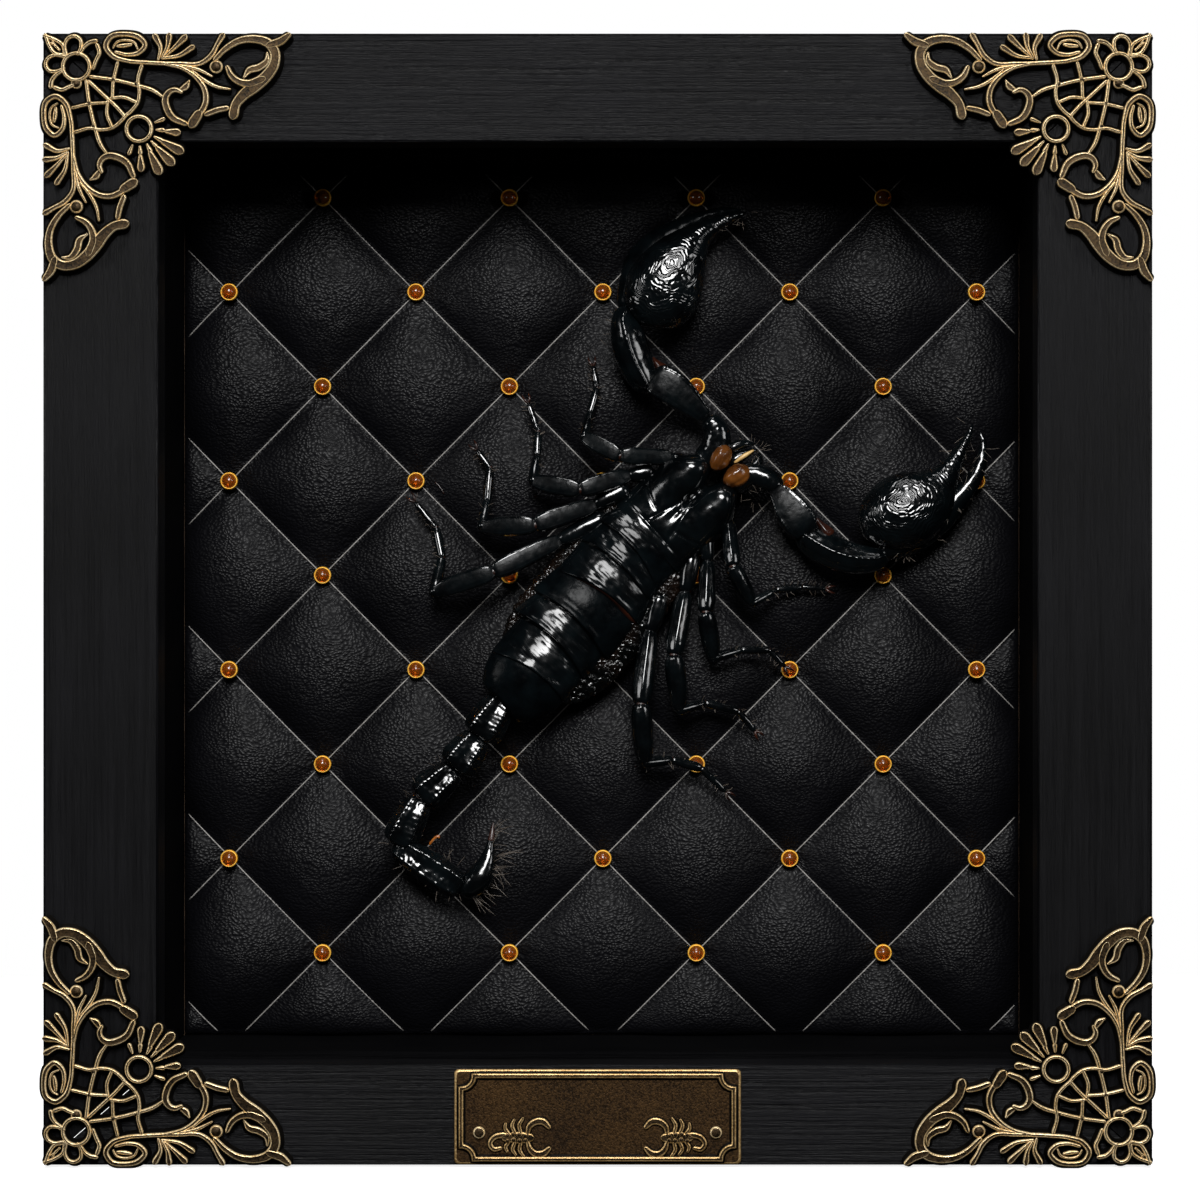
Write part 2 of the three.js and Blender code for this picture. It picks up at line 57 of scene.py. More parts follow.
RIVET_X, RIVET_Z = 21.3, 6.1
BRASS_THICKNESS = 2.4
PLATE_WIDTH, PLATE_HEIGHT, PLATE_BASE, PLATE_BOTTOM = 51.6, 17.1, 1.1, 0.3
SPECIMEN_DEPTH = 33.0

# Landmarks are read in a 1200 x 1200 picture taken from in front: the size of a pixel on the front
# face, how far the eye is from it, the pixel it faces and the pixel under the middle of the box.
PIXEL = 0.18026
EYE_DISTANCE = 765.0
EYE_PIXEL = (677.0, 600.0)
BASE_PIXEL = (597.75, 1165.0)
PICTURE = 1200.0


def at_depth(px, py, depth):
    """Points of the picture at a depth behind the front face, in millimetres."""
    px, py, depth = np.broadcast_arrays(np.asarray(px, float), np.asarray(py, float),
                                        np.asarray(depth, float))
    reach = (EYE_DISTANCE + depth) / EYE_DISTANCE
    x = (EYE_PIXEL[0] - BASE_PIXEL[0] + (px - EYE_PIXEL[0]) * reach) * PIXEL
    z = (BASE_PIXEL[1] - EYE_PIXEL[1] + (EYE_PIXEL[1] - py) * reach) * PIXEL
    return np.stack([x, FACE_Y + depth, z], axis=-1)


def linear(code):
    """An sRGB hex colour as linear light."""
    parts = [int(code[i:i + 2], 16) / 255 for i in (1, 3, 5)]
    return tuple(c / 12.92 if c < 0.04045 else ((c + 0.055) / 1.055) ** 2.4 for c in parts) + (1.0,)


def add(tree, kind, inputs=None, stops=(), **settings):
    """Add one node with its settings, link or set its inputs, and colour its stops of (place, hex colour)."""
    node = tree.nodes.new(kind)
    for key, value in settings.items():
        setattr(node, key, value)
    for key, value in (inputs or {}).items():
        if isinstance(value, bpy.types.NodeSocket):
            tree.links.new(value, node.inputs[key])
        else:
            node.inputs[key].default_value = value
    for i, (place, code) in enumerate(stops):
        element = node.color_ramp.elements[i] if i < 2 else node.color_ramp.elements.new(place)
        element.position, element.color = place, linear(code)
    return node


def blank(name):
    """A material with an empty node tree."""
    material = bpy.data.materials.new(name)
    material.use_nodes = True
    material.node_tree.nodes.clear()
    return material, material.node_tree


def fresh(name):
    """A blank material, its tree, and the places of the object's own frame."""
    material, tree = blank(name)
    return material, tree, add(tree, "ShaderNodeTexCoord").outputs["Object"]


def noise(tree, place, size, detail, more=None):
    """Value of a noise whose patches have the given size."""
    inputs = {"Vector": place, "Scale": 1 / size, "Detail": detail, **(more or {})}
    return add(tree, "ShaderNodeTexNoise", inputs).outputs["Fac"]


def ramp(tree, value, low, dark, high, light):
    """Colour that runs from dark to light while the value runs from low to high."""
    return add(tree, "ShaderNodeValToRGB", {"Fac": value}, [(low, dark), (high, light)]).outputs["Color"]


def remap(tree, value, low, high, first, last):
    """The value carried from the span of low to high onto the span of first to last."""
    spans = {"From Min": low, "From Max": high, "To Min": first, "To Max": last}
    return add(tree, "ShaderNodeMapRange", {"Value": value, **spans}).outputs["Result"]


def bumped(tree, height, strength, distance, under=None, invert=False):
    """Normals of a bump, laid over those of another bump where one is given."""
    inputs = {"Height": height, "Strength": strength, "Distance": distance}
    if under is not None:
        inputs["Normal"] = under
    return add(tree, "ShaderNodeBump", inputs, invert=invert).outputs["Normal"]


def coated(material, tree, inputs, volume=None):
    """Give a material one surface with these inputs, and a volume where there is one."""
    ends = {"Surface": add(tree, "ShaderNodeBsdfPrincipled", inputs).outputs[0]}
    if volume is not None:
        ends["Volume"] = volume
    add(tree, "ShaderNodeOutputMaterial", ends)
    return material


# Materials

SHELL_DARK, SHELL_LIGHT = "#020304", "#070c0e"


def painted_wood(name, along, dark, light, rough, gleam):
    """Pine brushed with thin black paint: dull, with the open grain as fine streaks along the rail."""
    material, tree, place = fresh(name)
    # Grain lines about 0.7 mm apart and 30 mm long
    fine, long = 1 / 0.0007, 1 / 0.03
    stretch = (long, fine, fine) if along == "X" else (fine, fine, long)
    grain = add(tree, "ShaderNodeMapping", {"Vector": place, "Scale": stretch}).outputs["Vector"]
    streaks = noise(tree, grain, 1.0, 5.0, {"Roughness": 0.7})
    clouds = noise(tree, place, 0.03, 3.0)
    both = add(tree, "ShaderNodeMath", {0: streaks, 1: clouds}, operation="MULTIPLY").outputs[0]
    return coated(material, tree, {
        "Base Color": ramp(tree, both, 0.14, dark, 0.4, light),
        "Roughness": remap(tree, streaks, 0.3, 0.7, rough - 0.1, rough + 0.12), "IOR": 1.5,
        "Specular IOR Level": gleam, "Normal": bumped(tree, streaks, 0.9, 0.00042)})


def pressed_hardboard():
    """Brown pressed fibreboard: short matted fibres, dull."""
    material, tree, place = fresh("pressed hardboard")
    fibres = noise(tree, place, 0.0015, 6.0, {"Distortion": 1.5})
    return coated(material, tree, {
        "Base Color": ramp(tree, fibres, 0.3, "#3b2b1d", 0.7, "#5a4430"), "Roughness": 0.8, "IOR": 1.5,
        "Normal": bumped(tree, fibres, 0.4, 0.0002)})


def pebbled_leather():
    """Black embossed leather: small flat pebbles drawn out sideways, satin on top and dull in the creases."""
    material, tree, place = fresh("black pebbled leather")
    # Pebbles about 0.66 mm wide and 0.46 mm tall, bent out of line by a slow swell
    swell = add(tree, "ShaderNodeTexNoise", {"Vector": place, "Scale": 1 / 0.004, "Detail": 2.0})
    bent = add(tree, "ShaderNodeMix", {0: 0.0022, 4: place, 5: swell.outputs["Color"]}, data_type="VECTOR")
    lie = {"Vector": bent.outputs[1], "Rotation": (-math.pi / 2, 0, 0), "Scale": (0.00066, 0.00046, 0.001)}
    drawn = add(tree, "ShaderNodeMapping", lie, vector_type="TEXTURE").outputs["Vector"]
    pebbles = add(tree, "ShaderNodeTexVoronoi", {"Vector": drawn, "Scale": 1.0, "Smoothness": 0.35},
                  feature="SMOOTH_F1", voronoi_dimensions="2D").outputs["Distance"]
    broad = noise(tree, place, 0.012, 3.0)
    return coated(material, tree, {
        "Base Color": ramp(tree, broad, 0.3, "#040406", 0.7, "#09090c"),
        "Roughness": remap(tree, pebbles, 0.1, 0.6, 0.36, 0.5), "IOR": 1.45,
        "Specular IOR Level": remap(tree, pebbles, 0.1, 0.6, 0.24, 0.09),
        "Normal": bumped(tree, pebbles, 0.7, 0.00016, invert=True)})


def waxed_thread():
    """Grey waxed polyester thread pulled tight in the seams: a thin line with a soft shine."""
    material, tree, place = fresh("waxed thread")
    twist = noise(tree, place, 0.0005, 2.0)
    return coated(material, tree, {
        "Base Color": ramp(tree, twist, 0.3, "#76736f", 0.7, "#a19e9a"), "Roughness": 0.45, "IOR": 1.5})


def amber_resin():
    """Amber resin cabochon, softly polished: a little milky, yellow where thin and red brown where thick."""
    material, tree, place = fresh("softly polished amber resin")
    cloud = noise(tree, place, 0.0015, 2.0)
    depth = add(tree, "ShaderNodeVolumeAbsorption", {"Color": linear("#ffb02a"), "Density": 220.0})
    return coated(material, tree, {
        "Base Color": ramp(tree, cloud, 0.3, "#c8741f", 0.7, "#b05c14"), "Roughness": 0.2, "IOR": 1.54,
        "Transmission Weight": 0.75}, depth.outputs[0])


def gold_foil_with_painted_glow():
    """Gold foil pressed round the rim of each stud, a little crinkled: bright yellow, partly gilt and partly
    painted glow.
    """
    material, tree, place = fresh("gold foil rim with painted glow")
    crinkle = noise(tree, place, 0.0004, 2.0)
    return coated(material, tree, {
        "Base Color": ramp(tree, crinkle, 0.3, "#ffac22", 0.7, "#ffcf58"), "Metallic": 0.25,
        "Roughness": 0.45, "Normal": bumped(tree, crinkle, 0.2, 0.0001)})


def brown_lacquer():
    """Red brown lacquer under each stud, brushed on in one pass: even and dull, lit through the amber."""
    material, tree, place = fresh("red brown lacquer")
    streak = noise(tree, place, 0.0012, 1.0)
    return coated(material, tree, {
        "Base Color": ramp(tree, streak, 0.3, "#7c3410", 0.7, "#a9541a"), "Roughness": 0.7, "IOR": 1.5})


def cast_brass(name, dark, light, rough, metal, blotch):
    """Antiqued cast brass: grain left by the mould, under blotches of patina of the given size."""
    material, tree, place = fresh(name)
    # Casting grain of about 0.3 mm
    grain = noise(tree, place, 0.0003, 3.0)
    patina = noise(tree, place, blotch, 4.0)
    blend = add(tree, "ShaderNodeMix", {0: 0.35, 2: grain, 3: patina}).outputs[0]
    return coated(material, tree, {
        "Base Color": ramp(tree, blend, 0.38, dark, 0.64, light), "Metallic": metal,
        "Roughness": remap(tree, grain, 0.3, 0.7, rough - 0.07, rough + 0.1),
        "Normal": bumped(tree, grain, 0.6, 0.0001)})


def shell(name, dark, light, rough, relief, gleam=0.5):
    """Dried scorpion shell: hard and waxy, with shallow dents left by drying."""
    material, tree, place = fresh(name)
    tint = noise(tree, place, 0.004, 4.0)
    dents = noise(tree, place, 0.0012, 3.0)
    return coated(material, tree, {
        "Base Color": ramp(tree, tint, 0.35, dark, 0.7, light),
        "Roughness": remap(tree, dents, 0.3, 0.7, rough - 0.05, rough + 0.08), "IOR": 1.56,
        "Specular IOR Level": gleam, "Normal": bumped(tree, dents, relief, 0.0002)})


def creased_shell():
    """Shell of the back plates, dried in creases across the body: shiny where wax is left, dull elsewhere."""
    material, tree, place = fresh("black dried shell, creased back")
    tint = noise(tree, place, 0.004, 4.0)
    # The body lies at 45 degrees: creases 1.1 mm apart along it and about 6 mm long across it
    lie = {"Vector": place, "Rotation": (0, -math.pi / 4, 0), "Scale": (0.0011, 0.002, 0.006)}
    turned = add(tree, "ShaderNodeMapping", lie, vector_type="TEXTURE").outputs["Vector"]
    creases = noise(tree, turned, 1.0, 1.5)
    dents = noise(tree, place, 0.003, 1.0)
    dented = bumped(tree, dents, 0.6, 0.0006)
    # Patches of wax about 7 mm wide
    wax = noise(tree, place, 0.007, 0.0)
    return coated(material, tree, {
        "Base Color": ramp(tree, tint, 0.35, SHELL_DARK, 0.7, SHELL_LIGHT),
        "Roughness": remap(tree, creases, 0.3, 0.7, 0.12, 0.2), "IOR": 1.56,
        "Specular IOR Level": remap(tree, wax, 0.38, 0.6, 0.16, 0.5),
        "Normal": bumped(tree, creases, 0.55, 0.0003, dented)})


def wrinkled_skin():
    """Soft skin of the flanks, shrunk in drying: black and shiny, in crooked folds."""
    material, tree, place = fresh("black dried skin, wrinkled")
    tint = noise(tree, place, 0.006, 3.0)
    swirl = noise(tree, place, 0.004, 2.5, {"Roughness": 0.5})
    turns = add(tree, "ShaderNodeMath", {0: swirl, 1: 60.0}, operation="MULTIPLY").outputs[0]
    folds = add(tree, "ShaderNodeMath", {0: turns}, operation="SINE").outputs[0]
    return coated(material, tree, {
        "Base Color": ramp(tree, tint, 0.45, "#030404", 0.75, "#1c120c"), "Roughness": 0.16, "IOR": 1.56,
        "Normal": bumped(tree, folds, 0.8, 0.0001)})


def ringed_shell(name, crown):
    """Shell of a hand: polished, with wavy raised lines about 0.85 mm apart that ring its crown."""
    material, tree, place = fresh(name)
    tint = noise(tree, place, 0.004, 4.0)
    centre = at_depth(*crown, SPECIMEN_DEPTH - CROWN_LIFT) * MM
    away = add(tree, "ShaderNodeVectorMath", {0: place, 1: centre}, operation="DISTANCE").outputs["Value"]
    sway = noise(tree, place, 0.0035, 2.0, {"Roughness": 0.45})
    bent = add(tree, "ShaderNodeMath", {0: sway, 1: 0.006, 2: away}, operation="MULTIPLY_ADD").outputs[0]
    turns = add(tree, "ShaderNodeMath", {0: bent, 1: 2 * math.pi / 0.00085}, operation="MULTIPLY").outputs[0]
    lines = add(tree, "ShaderNodeMath", {0: turns}, operation="SINE").outputs[0]
    return coated(material, tree, {
        "Base Color": ramp(tree, tint, 0.35, SHELL_DARK, 0.7, SHELL_LIGHT), "Roughness": 0.14, "IOR": 1.56,
        "Specular IOR Level": 0.65, "Normal": bumped(tree, lines, 0.6, 0.00005)})


# Where the rings of the two hands centre, in pixels and millimetres above the pad
UPPER_CROWN, RIGHT_CROWN, CROWN_LIFT = (670, 265), (905, 500), 10.5

wood_across = painted_wood("black painted pine, grain across", "X", "#040405", "#0b0b0e", 0.45, 0.14)
wood_upright = painted_wood("black painted pine, grain upright", "Z", "#040405", "#0b0b0e", 0.45, 0.14)
# The liners are the rail paint made darker and duller: painted shade of the deep recess
shaded_liner_across = painted_wood("black painted pine, liner across, painted shade", "X", "#020203", "#070708", 0.7, 0.03)
shaded_liner_upright = painted_wood("black painted pine, liner upright, painted shade", "Z", "#020203", "#070708", 0.7, 0.03)
hardboard = pressed_hardboard()
leather = pebbled_leather()
thread = waxed_thread()
amber = amber_resin()
# Bright gilt rim of the studs, partly a painted glow of light gathered at the dome's edge
foil = gold_foil_with_painted_glow()
lacquer = brown_lacquer()
brass_face = cast_brass("antiqued cast brass, faces", "#0e0a05", "#453520", 0.42, 0.85, 0.004)
# Bevels rubbed bright by wear, and coloured paler still as a painted highlight along every edge
brass_edge_wear_and_highlight = cast_brass("antiqued cast brass, rubbed edges with painted highlight", "#d8b478", "#ffeabf", 0.27, 0.5, 0.004)
# Low sides of each stroke: dark with patina, and with painted shade and outline where they meet the wood
brass_side_patina_and_shade = cast_brass("antiqued cast brass, dark sides", "#080605", "#17120c", 0.5, 0.7, 0.004)
# Plate rims rubbed bright by wear, and coloured paler still as a painted highlight
brass_rim_wear_and_highlight = cast_brass("antiqued cast brass, plate rims", "#93713f", "#dab982", 0.34, 0.6, 0.004)
plate_field = cast_brass("antiqued cast brass, plate field", "#25190c", "#4a3419", 0.42, 0.8, 0.012)
shell_black = shell("black dried shell", SHELL_DARK, SHELL_LIGHT, 0.12, 0.12, 0.65)
shell_dull = shell("black dried shell, rubbed dull", SHELL_DARK, SHELL_LIGHT, 0.22, 0.3, 0.05)
shell_upper_hand = ringed_shell("black dried shell, upper hand", UPPER_CROWN)
shell_right_hand = ringed_shell("black dried shell, right hand", RIGHT_CROWN)
shell_brown = shell("red brown joint skin", "#140805", "#38190e", 0.3, 0.3)
shell_flat = shell("black dried shell, satin", SHELL_DARK, SHELL_LIGHT, 0.3, 0.35, 0.13)
shell_back = creased_shell()
shell_skin = wrinkled_skin()
shell_jaw = shell("tan brown jaw shell", "#2c1306", "#86501f", 0.2, 0.6)
shell_horn = shell("pale horn edge", "#a87a3a", "#e0bd7c", 0.3, 0.1)
shell_fleck = shell("orange dried fleck", "#94480f", "#d07f2c", 0.35, 0.2)
bristle = shell("grey brown bristle", "#4a4139", "#8f8478", 0.35, 0.1)


# Mesh making


class Form:
    """Points and faces gathered for one piece, with a material number for each face."""

    def __init__(self):
        self.points, self.faces, self.marks, self.count = [], [], [], 0

    def add(self, points, faces, marks=0):
        points = np.asarray(points, float).reshape(-1, 3)
        self.points.append(points)
        self.faces += [[i + self.count for i in face] for face in faces]
        self.marks += list(marks) if np.ndim(marks) else [marks] * len(faces)
        self.count += len(points)

    def piece(self, name, materials, replaces=()):
        mesh = bpy.data.meshes.new(name)
        mesh.from_pydata((np.concatenate(self.points) * MM).tolist(), [], self.faces)
        for material in materials:
            mesh.materials.append(material)
        mesh.polygons.foreach_set("material_index", self.marks)
        mesh.polygons.foreach_set("use_smooth", [True] * len(self.faces))
        mesh.update()
        thing = bpy.data.objects.new(name, mesh)
        bpy.context.scene.collection.objects.link(thing)
        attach(thing, "root")
        if replaces:
            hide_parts(*replaces)
        return thing


def wrapped(rings, closed_path=False, caps=True):
    """Faces of a stack of rings, which are given as an array of ring, point and place."""
    count, sides = rings.shape[:2]
    faces = []
    for i in range(count if closed_path else count - 1):
        here, there = i * sides, (i + 1) % count * sides
        for j in range(sides):
            k = (j + 1) % sides
            faces.append([here + j, here + k, there + k, there + j])
    if caps and not closed_path:
        faces.append(list(range(sides))[::-1])
        faces.append([(count - 1) * sides + j for j in range(sides)])
    return faces


def eased(count):
    """Shares from 0 to 1 that lie closer together at both ends."""
    u = np.linspace(0, 1, count)
    return u - np.sin(2 * np.pi * u) / (2 * np.pi) * 0.6


def grid_faces(grid):
    """Four-sided faces between the point numbers of a grid."""
    return np.stack([grid[:-1, :-1], grid[:-1, 1:], grid[1:, 1:], grid[1:, :-1]], axis=-1).reshape(-1, 4)


def grid_rim(grid):
    """Point numbers round the edge of a grid."""
    return np.concatenate([grid[0, :-1], grid[:-1, -1], grid[-1, :0:-1], grid[:0:-1, 0]])


def spline(rows, count, even=True):
    """A smooth run through rows of numbers, spaced by the distance between their first two columns."""
    rows = np.asarray(rows, float)
    steps = np.linalg.norm(np.diff(rows[:, :2], axis=0), axis=1).clip(1e-6)
    run = np.concatenate([[0], np.cumsum(steps)])
    slope = np.tile((rows[1] - rows[0]) / run[-1], (2, 1))
    if len(rows) > 2:
        slope = np.gradient(rows, run, axis=0)
    u = (np.linspace(0, 1, count) if even else eased(count)) * run[-1]
    i = np.clip(np.searchsorted(run, u, side="right") - 1, 0, len(run) - 2)
    h = (run[i + 1] - run[i])[:, None]
    s = (u - run[i])[:, None] / h
    return ((2 * s ** 3 - 3 * s ** 2 + 1) * rows[i] + (s ** 3 - 2 * s ** 2 + s) * h * slope[i]
            + (3 * s ** 2 - 2 * s ** 3) * rows[i + 1] + (s ** 3 - s ** 2) * h * slope[i + 1])


def ripple(points, size, seed=0.0):
    """Smooth random swell between -1 and 1, with bumps of about the given size."""
    p = np.asarray(points, float) / size + seed
    cell = np.floor(p)
    f = p - cell
    f = f * f * (3 - 2 * f)
    total = np.zeros(p.shape[:-1])
    for dx in (0, 1):
        for dy in (0, 1):
            for dz in (0, 1):
                corner = cell + (dx, dy, dz)
                value = np.sin(corner @ np.array([127.1, 311.7, 74.7])) * 43758.5453
                value = (value - np.floor(value)) * 2 - 1
                weight = ((f[..., 0] if dx else 1 - f[..., 0]) * (f[..., 1] if dy else 1 - f[..., 1])
                          * (f[..., 2] if dz else 1 - f[..., 2]))
                total += value * weight
    return total


# Frame


def rounded(corners, radius, steps=3):
    """A closed outline with each corner rounded to the radius."""
    out = []
    n = len(corners)
    for i in range(n):
        a, b, c = (np.array(corners[(i + k) % n], float) for k in (-1, 0, 1))
        before = b + (a - b) / np.linalg.norm(a - b) * radius
        after = b + (c - b) / np.linalg.norm(c - b) * radius
        for k in range(steps + 1):
            t = k / steps
            out.append((1 - t) ** 2 * before + 2 * t * (1 - t) * b + t ** 2 * after)
    return np.array(out)


def mitred_side(name, side, outer, inner, section, material):
    """One side of a mitred frame: section points are (millimetres in from the outer edge, depth)."""
    corners = [("left", "bottom"), ("right", "bottom"), ("right", "top"), ("left", "top")]
    a, b = ([box[key] for key in corners[side]] for box in (outer, inner))
    c, d = ([box[key] for key in corners[(side + 1) % 4]] for box in (outer, inner))
    a, b, c, d = (np.array(v, float) for v in (a, b, c, d))
    way = (c - a) / np.linalg.norm(c - a)
    width = abs(np.cross(way, b - a))
    share = section[:, :1] / width
    near = a + (b - a) * share + way * FIT_GAP / 2
    far = c + (d - c) * share - way * FIT_GAP / 2
    rings = np.zeros((2, len(section), 3))
    for i, line in enumerate((near, far)):
        rings[i, :, 0], rings[i, :, 2] = line[:, 0], line[:, 1]
        rings[i, :, 1] = FACE_Y + section[:, 1]
    form = Form()
    form.add(rings, [face[::-1] for face in wrapped(rings)])
    thing = form.piece(name + "_rounded", [material], [name])
    # Only the rounded edges are shaded smooth; the flats between them stay flat.
    thing.data.polygons.foreach_set("use_smooth", [i < len(section) and i % 4 != 3
                                                   for i in range(len(thing.data.polygons))])
    return thing


def inset(box, left, right, bottom, top):
    return {"left": box["left"] + left, "right": box["right"] - right,
            "bottom": box["bottom"] + bottom, "top": box["top"] - top}


outline = {"left": -FRAME_WIDTH / 2, "right": FRAME_WIDTH / 2, "bottom": 0.0, "top": FRAME_HEIGHT}
mouth = inset(outline, SIDE_RAIL, SIDE_RAIL, BOTTOM_RAIL, TOP_RAIL)
rabbet = inset(outline, *(RABBET_SHARE * rail for rail in (SIDE_RAIL, SIDE_RAIL, BOTTOM_RAIL, TOP_RAIL)))
lined = inset(rabbet, FIT_GAP, FIT_GAP, FIT_GAP, FIT_GAP)
recess = inset(mouth, 0, 0, LINER_PROUD, LINER_PROUD)
pad_box = inset(recess, FIT_GAP, FIT_GAP, FIT_GAP, FIT_GAP)
board_front = FRAME_DEPTH - BOARD_THICKNESS


def make_frame():
    sides = ["bottom", "right", "top", "left"]
    widths = [BOTTOM_RAIL, SIDE_RAIL, TOP_RAIL, SIDE_RAIL]
    liner_widths = [lined["bottom"], lined["right"], lined["top"], lined["left"]]
    for i, side in enumerate(sides):
        material, lining = (wood_across, shaded_liner_across) if i % 2 == 0 else (wood_upright, shaded_liner_upright)
        width = widths[i]
        step = width * RABBET_SHARE
        section = rounded([(0, 0), (width, 0), (width, LIP_DEPTH), (step, LIP_DEPTH), (step, FRAME_DEPTH),
                           (0, FRAME_DEPTH)], RAIL_ROUND)
        mitred_side("rail_" + side, i, outline, mouth, section, material)
        thick = abs(recess[side] - liner_widths[i])
        front = LIP_DEPTH + FIT_GAP
        back = board_front - FIT_GAP
        section = rounded([(0, front), (thick, front), (thick, back), (0, back)], LINER_ROUND)
        mitred_side("liner_" + side, i, lined, recess, section, lining)
    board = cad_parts["backing_board"]
    board.data.materials.clear()
    board.data.materials.append(hardboard)


# Tufted pad

FIRST_COLUMN = STUD_MIDDLE_X - STUD_PITCH_X * (STUD_COUNT - 1) / 2
FIRST_ROW = STUD_MIDDLE_Z + STUD_PITCH_Z * (STUD_COUNT - 1) / 2


def pad_depth(x, z):
    """Depth of the leather behind the front face: pillows between diagonal seams, drawn in at each stud."""
    column = (x - FIRST_COLUMN) / STUD_PITCH_X
    row = (FIRST_ROW - z) / STUD_PITCH_Z
    rise = np.abs(np.cos(np.pi * (column + row) / 2))
    fall = np.abs(np.cos(np.pi * (column - row) / 2))
    # The leather lies in a narrow round groove along the seam.
    swell = ((rise * fall) ** 2 + GROOVE ** 2) ** 0.275 - GROOVE ** 0.55
    depth = SEAM_DEPTH - PAD_CROWN * swell / (1 - GROOVE ** 0.55)
    near_column, near_row = np.round(column), np.round(row)
    stud = (np.abs(near_column + near_row) % 2 == 1)
    dx, dz = (column - near_column) * STUD_PITCH_X, (row - near_row) * STUD_PITCH_Z
    away = np.hypot(dx, dz)
    turn = np.arctan2(dz, dx)
    depth = depth + np.where(stud, 0.5 * np.exp(-(away / 2.4) ** 2), 0)
    depth = depth + np.where(stud, 0.16 * np.exp(-away / 3.5) * np.cos(8 * turn + 0.7 * near_row), 0)
    spots = np.stack([x, np.zeros_like(x), z], axis=-1)
    depth = depth + 0.12 * ripple(spots, 9.0) + 0.05 * ripple(spots, 3.0, 5.3)
    # The stuffing thins out towards the walls, least at the top.
    left, right = np.maximum(x - pad_box["left"], 0), np.maximum(pad_box["right"] - x, 0)
    bottom, top = np.maximum(z - pad_box["bottom"], 0), np.maximum(pad_box["top"] - z, 0)
    thin = (np.exp(-left / 2.7) + np.exp(-right / 2.7) + np.exp(-bottom / 2.7)) ** (1 / 3)
    depth = depth + 2.9 * thin + 0.8 * np.exp(-top / 4)
    return depth + 0.8 * np.exp(-np.minimum.reduce([left, right, bottom, top]) / 1.0)


def make_pad():
    xs = np.linspace(pad_box["left"], pad_box["right"], 253)
    zs = np.linspace(pad_box["bottom"], pad_box["top"], 261)
    x, z = np.meshgrid(xs, zs)
    y = np.minimum(FACE_Y + pad_depth(x, z), FACE_Y + board_front - FIT_GAP - 1.0)
    front = np.stack([x, y, z], axis=-1).reshape(-1, 3)
    wide, tall = len(xs), len(zs)
    grid = np.arange(wide * tall).reshape(tall, wide)
    rim = grid_rim(grid)
    # The leather is turned under at the back and there fills the gap to the walls.
    back = front[rim].copy()
    middle = (back.max(axis=0) + back.min(axis=0)) / 2
    span = (back.max(axis=0) - back.min(axis=0)) / 2
    back += PAD_FLARE * np.trunc((back - middle) / span * 1.0001)
    back[:, 1] = FACE_Y + board_front - FIT_GAP
    form = Form()
    form.add(np.concatenate([front, back]), grid_faces(grid).tolist())
    first = len(front)
    n = len(rim)
    form.faces += [[int(rim[i]), first + i, first + (i + 1) % n, int(rim[(i + 1) % n])] for i in range(n)]
    form.faces.append([first + i for i in range(n)][::-1])
    form.marks += [0] * (n + 1)
    pad = form.piece("tufted_pad", [leather], ["quilted_pad"])


def make_seam_thread():
    """Thread along every seam, from stud to stud and on to the edges of the pad."""
    form = Form()
    turn = np.linspace(0, 2 * np.pi, 6, endpoint=False)
    for slope in (1, -1):
        for line in range(-19, 28, 2):
            # Seams are where column + row or column - row is an odd number.
            columns = np.linspace(-0.6, 8.6, 260)
            rows = (line - columns) if slope == 1 else (columns - line)
            x = FIRST_COLUMN + columns * STUD_PITCH_X
            z = FIRST_ROW - rows * STUD_PITCH_Z
            inside = ((x > pad_box["left"] + THREAD_MARGIN) & (x < pad_box["right"] - THREAD_MARGIN)
                      & (z > pad_box["bottom"] + THREAD_MARGIN) & (z < pad_box["top"] - THREAD_MARGIN))
            if inside.sum() < 4:
                continue
            x, z = x[inside], z[inside]
            centre = np.stack([x, FACE_Y + pad_depth(x, z) - THREAD_LIFT, z], axis=-1)
            way = np.gradient(centre, axis=0)
            way /= np.linalg.norm(way, axis=1, keepdims=True)
            across = np.cross([0, -1, 0], way)
            across /= np.linalg.norm(across, axis=1, keepdims=True)
            up = np.cross(way, across)
            rings = (centre[:, None] + THREAD_RADIUS * np.cos(turn)[None, :, None] * across[:, None]
                     + THREAD_RADIUS * np.sin(turn)[None, :, None] * up[:, None])
            form.add(rings, wrapped(rings))
    form.piece("seam_thread", [thread])


def lathe(profile, centre, sides):
    """Turned solid whose axis points out of the front: the profile has (radius, height towards the front)."""
    turn = np.linspace(0, 2 * np.pi, sides, endpoint=False)
    return np.array([[(centre[0] + r * math.cos(t), centre[1] - h, centre[2] + r * math.sin(t))
                      for t in turn] for r, h in profile])


def make_studs():
    """Amber domes in a gilded rim, each over a lacquered seat; the rim's bright yellow is partly painted
    glow.
    """
    dome = [(0.02, 0), (1.2, 0), (1.3, 0.1), (1.32, 0.4), (1.24, 0.75), (1.02, 1.1), (0.7, 1.36), (0.35, 1.5),
            (0.02, 1.54)]
    rim = [(1.34, -0.9), (1.34, 0.5), (1.42, 0.66), (1.53, 0.62), (1.62, 0.42), (1.65, 0.1), (1.6, -0.9)]
    seat = [(0.02, -0.9), (1.3, -0.9), (1.3, -0.05), (0.02, -0.05)]
    for row in range(STUD_COUNT):
        for column in range((row + 1) % 2, STUD_COUNT, 2):
            centre = (FIRST_COLUMN + column * STUD_PITCH_X, FACE_Y + SEAM_DEPTH - STUD_LIFT,
                      FIRST_ROW - row * STUD_PITCH_Z)
            form = Form()
            for mark, shape, hollow in ((0, dome, False), (1, rim, True), (2, seat, False)):
                rings = lathe(shape, centre, STUD_SIDES)
                form.add(rings, wrapped(rings, closed_path=hollow), mark)
            node = f"stud_{row + 1}_{column + 1}"
            turn_out(form.piece("amber_" + node, [amber, foil, lacquer], [node]))


# Brass scrollwork

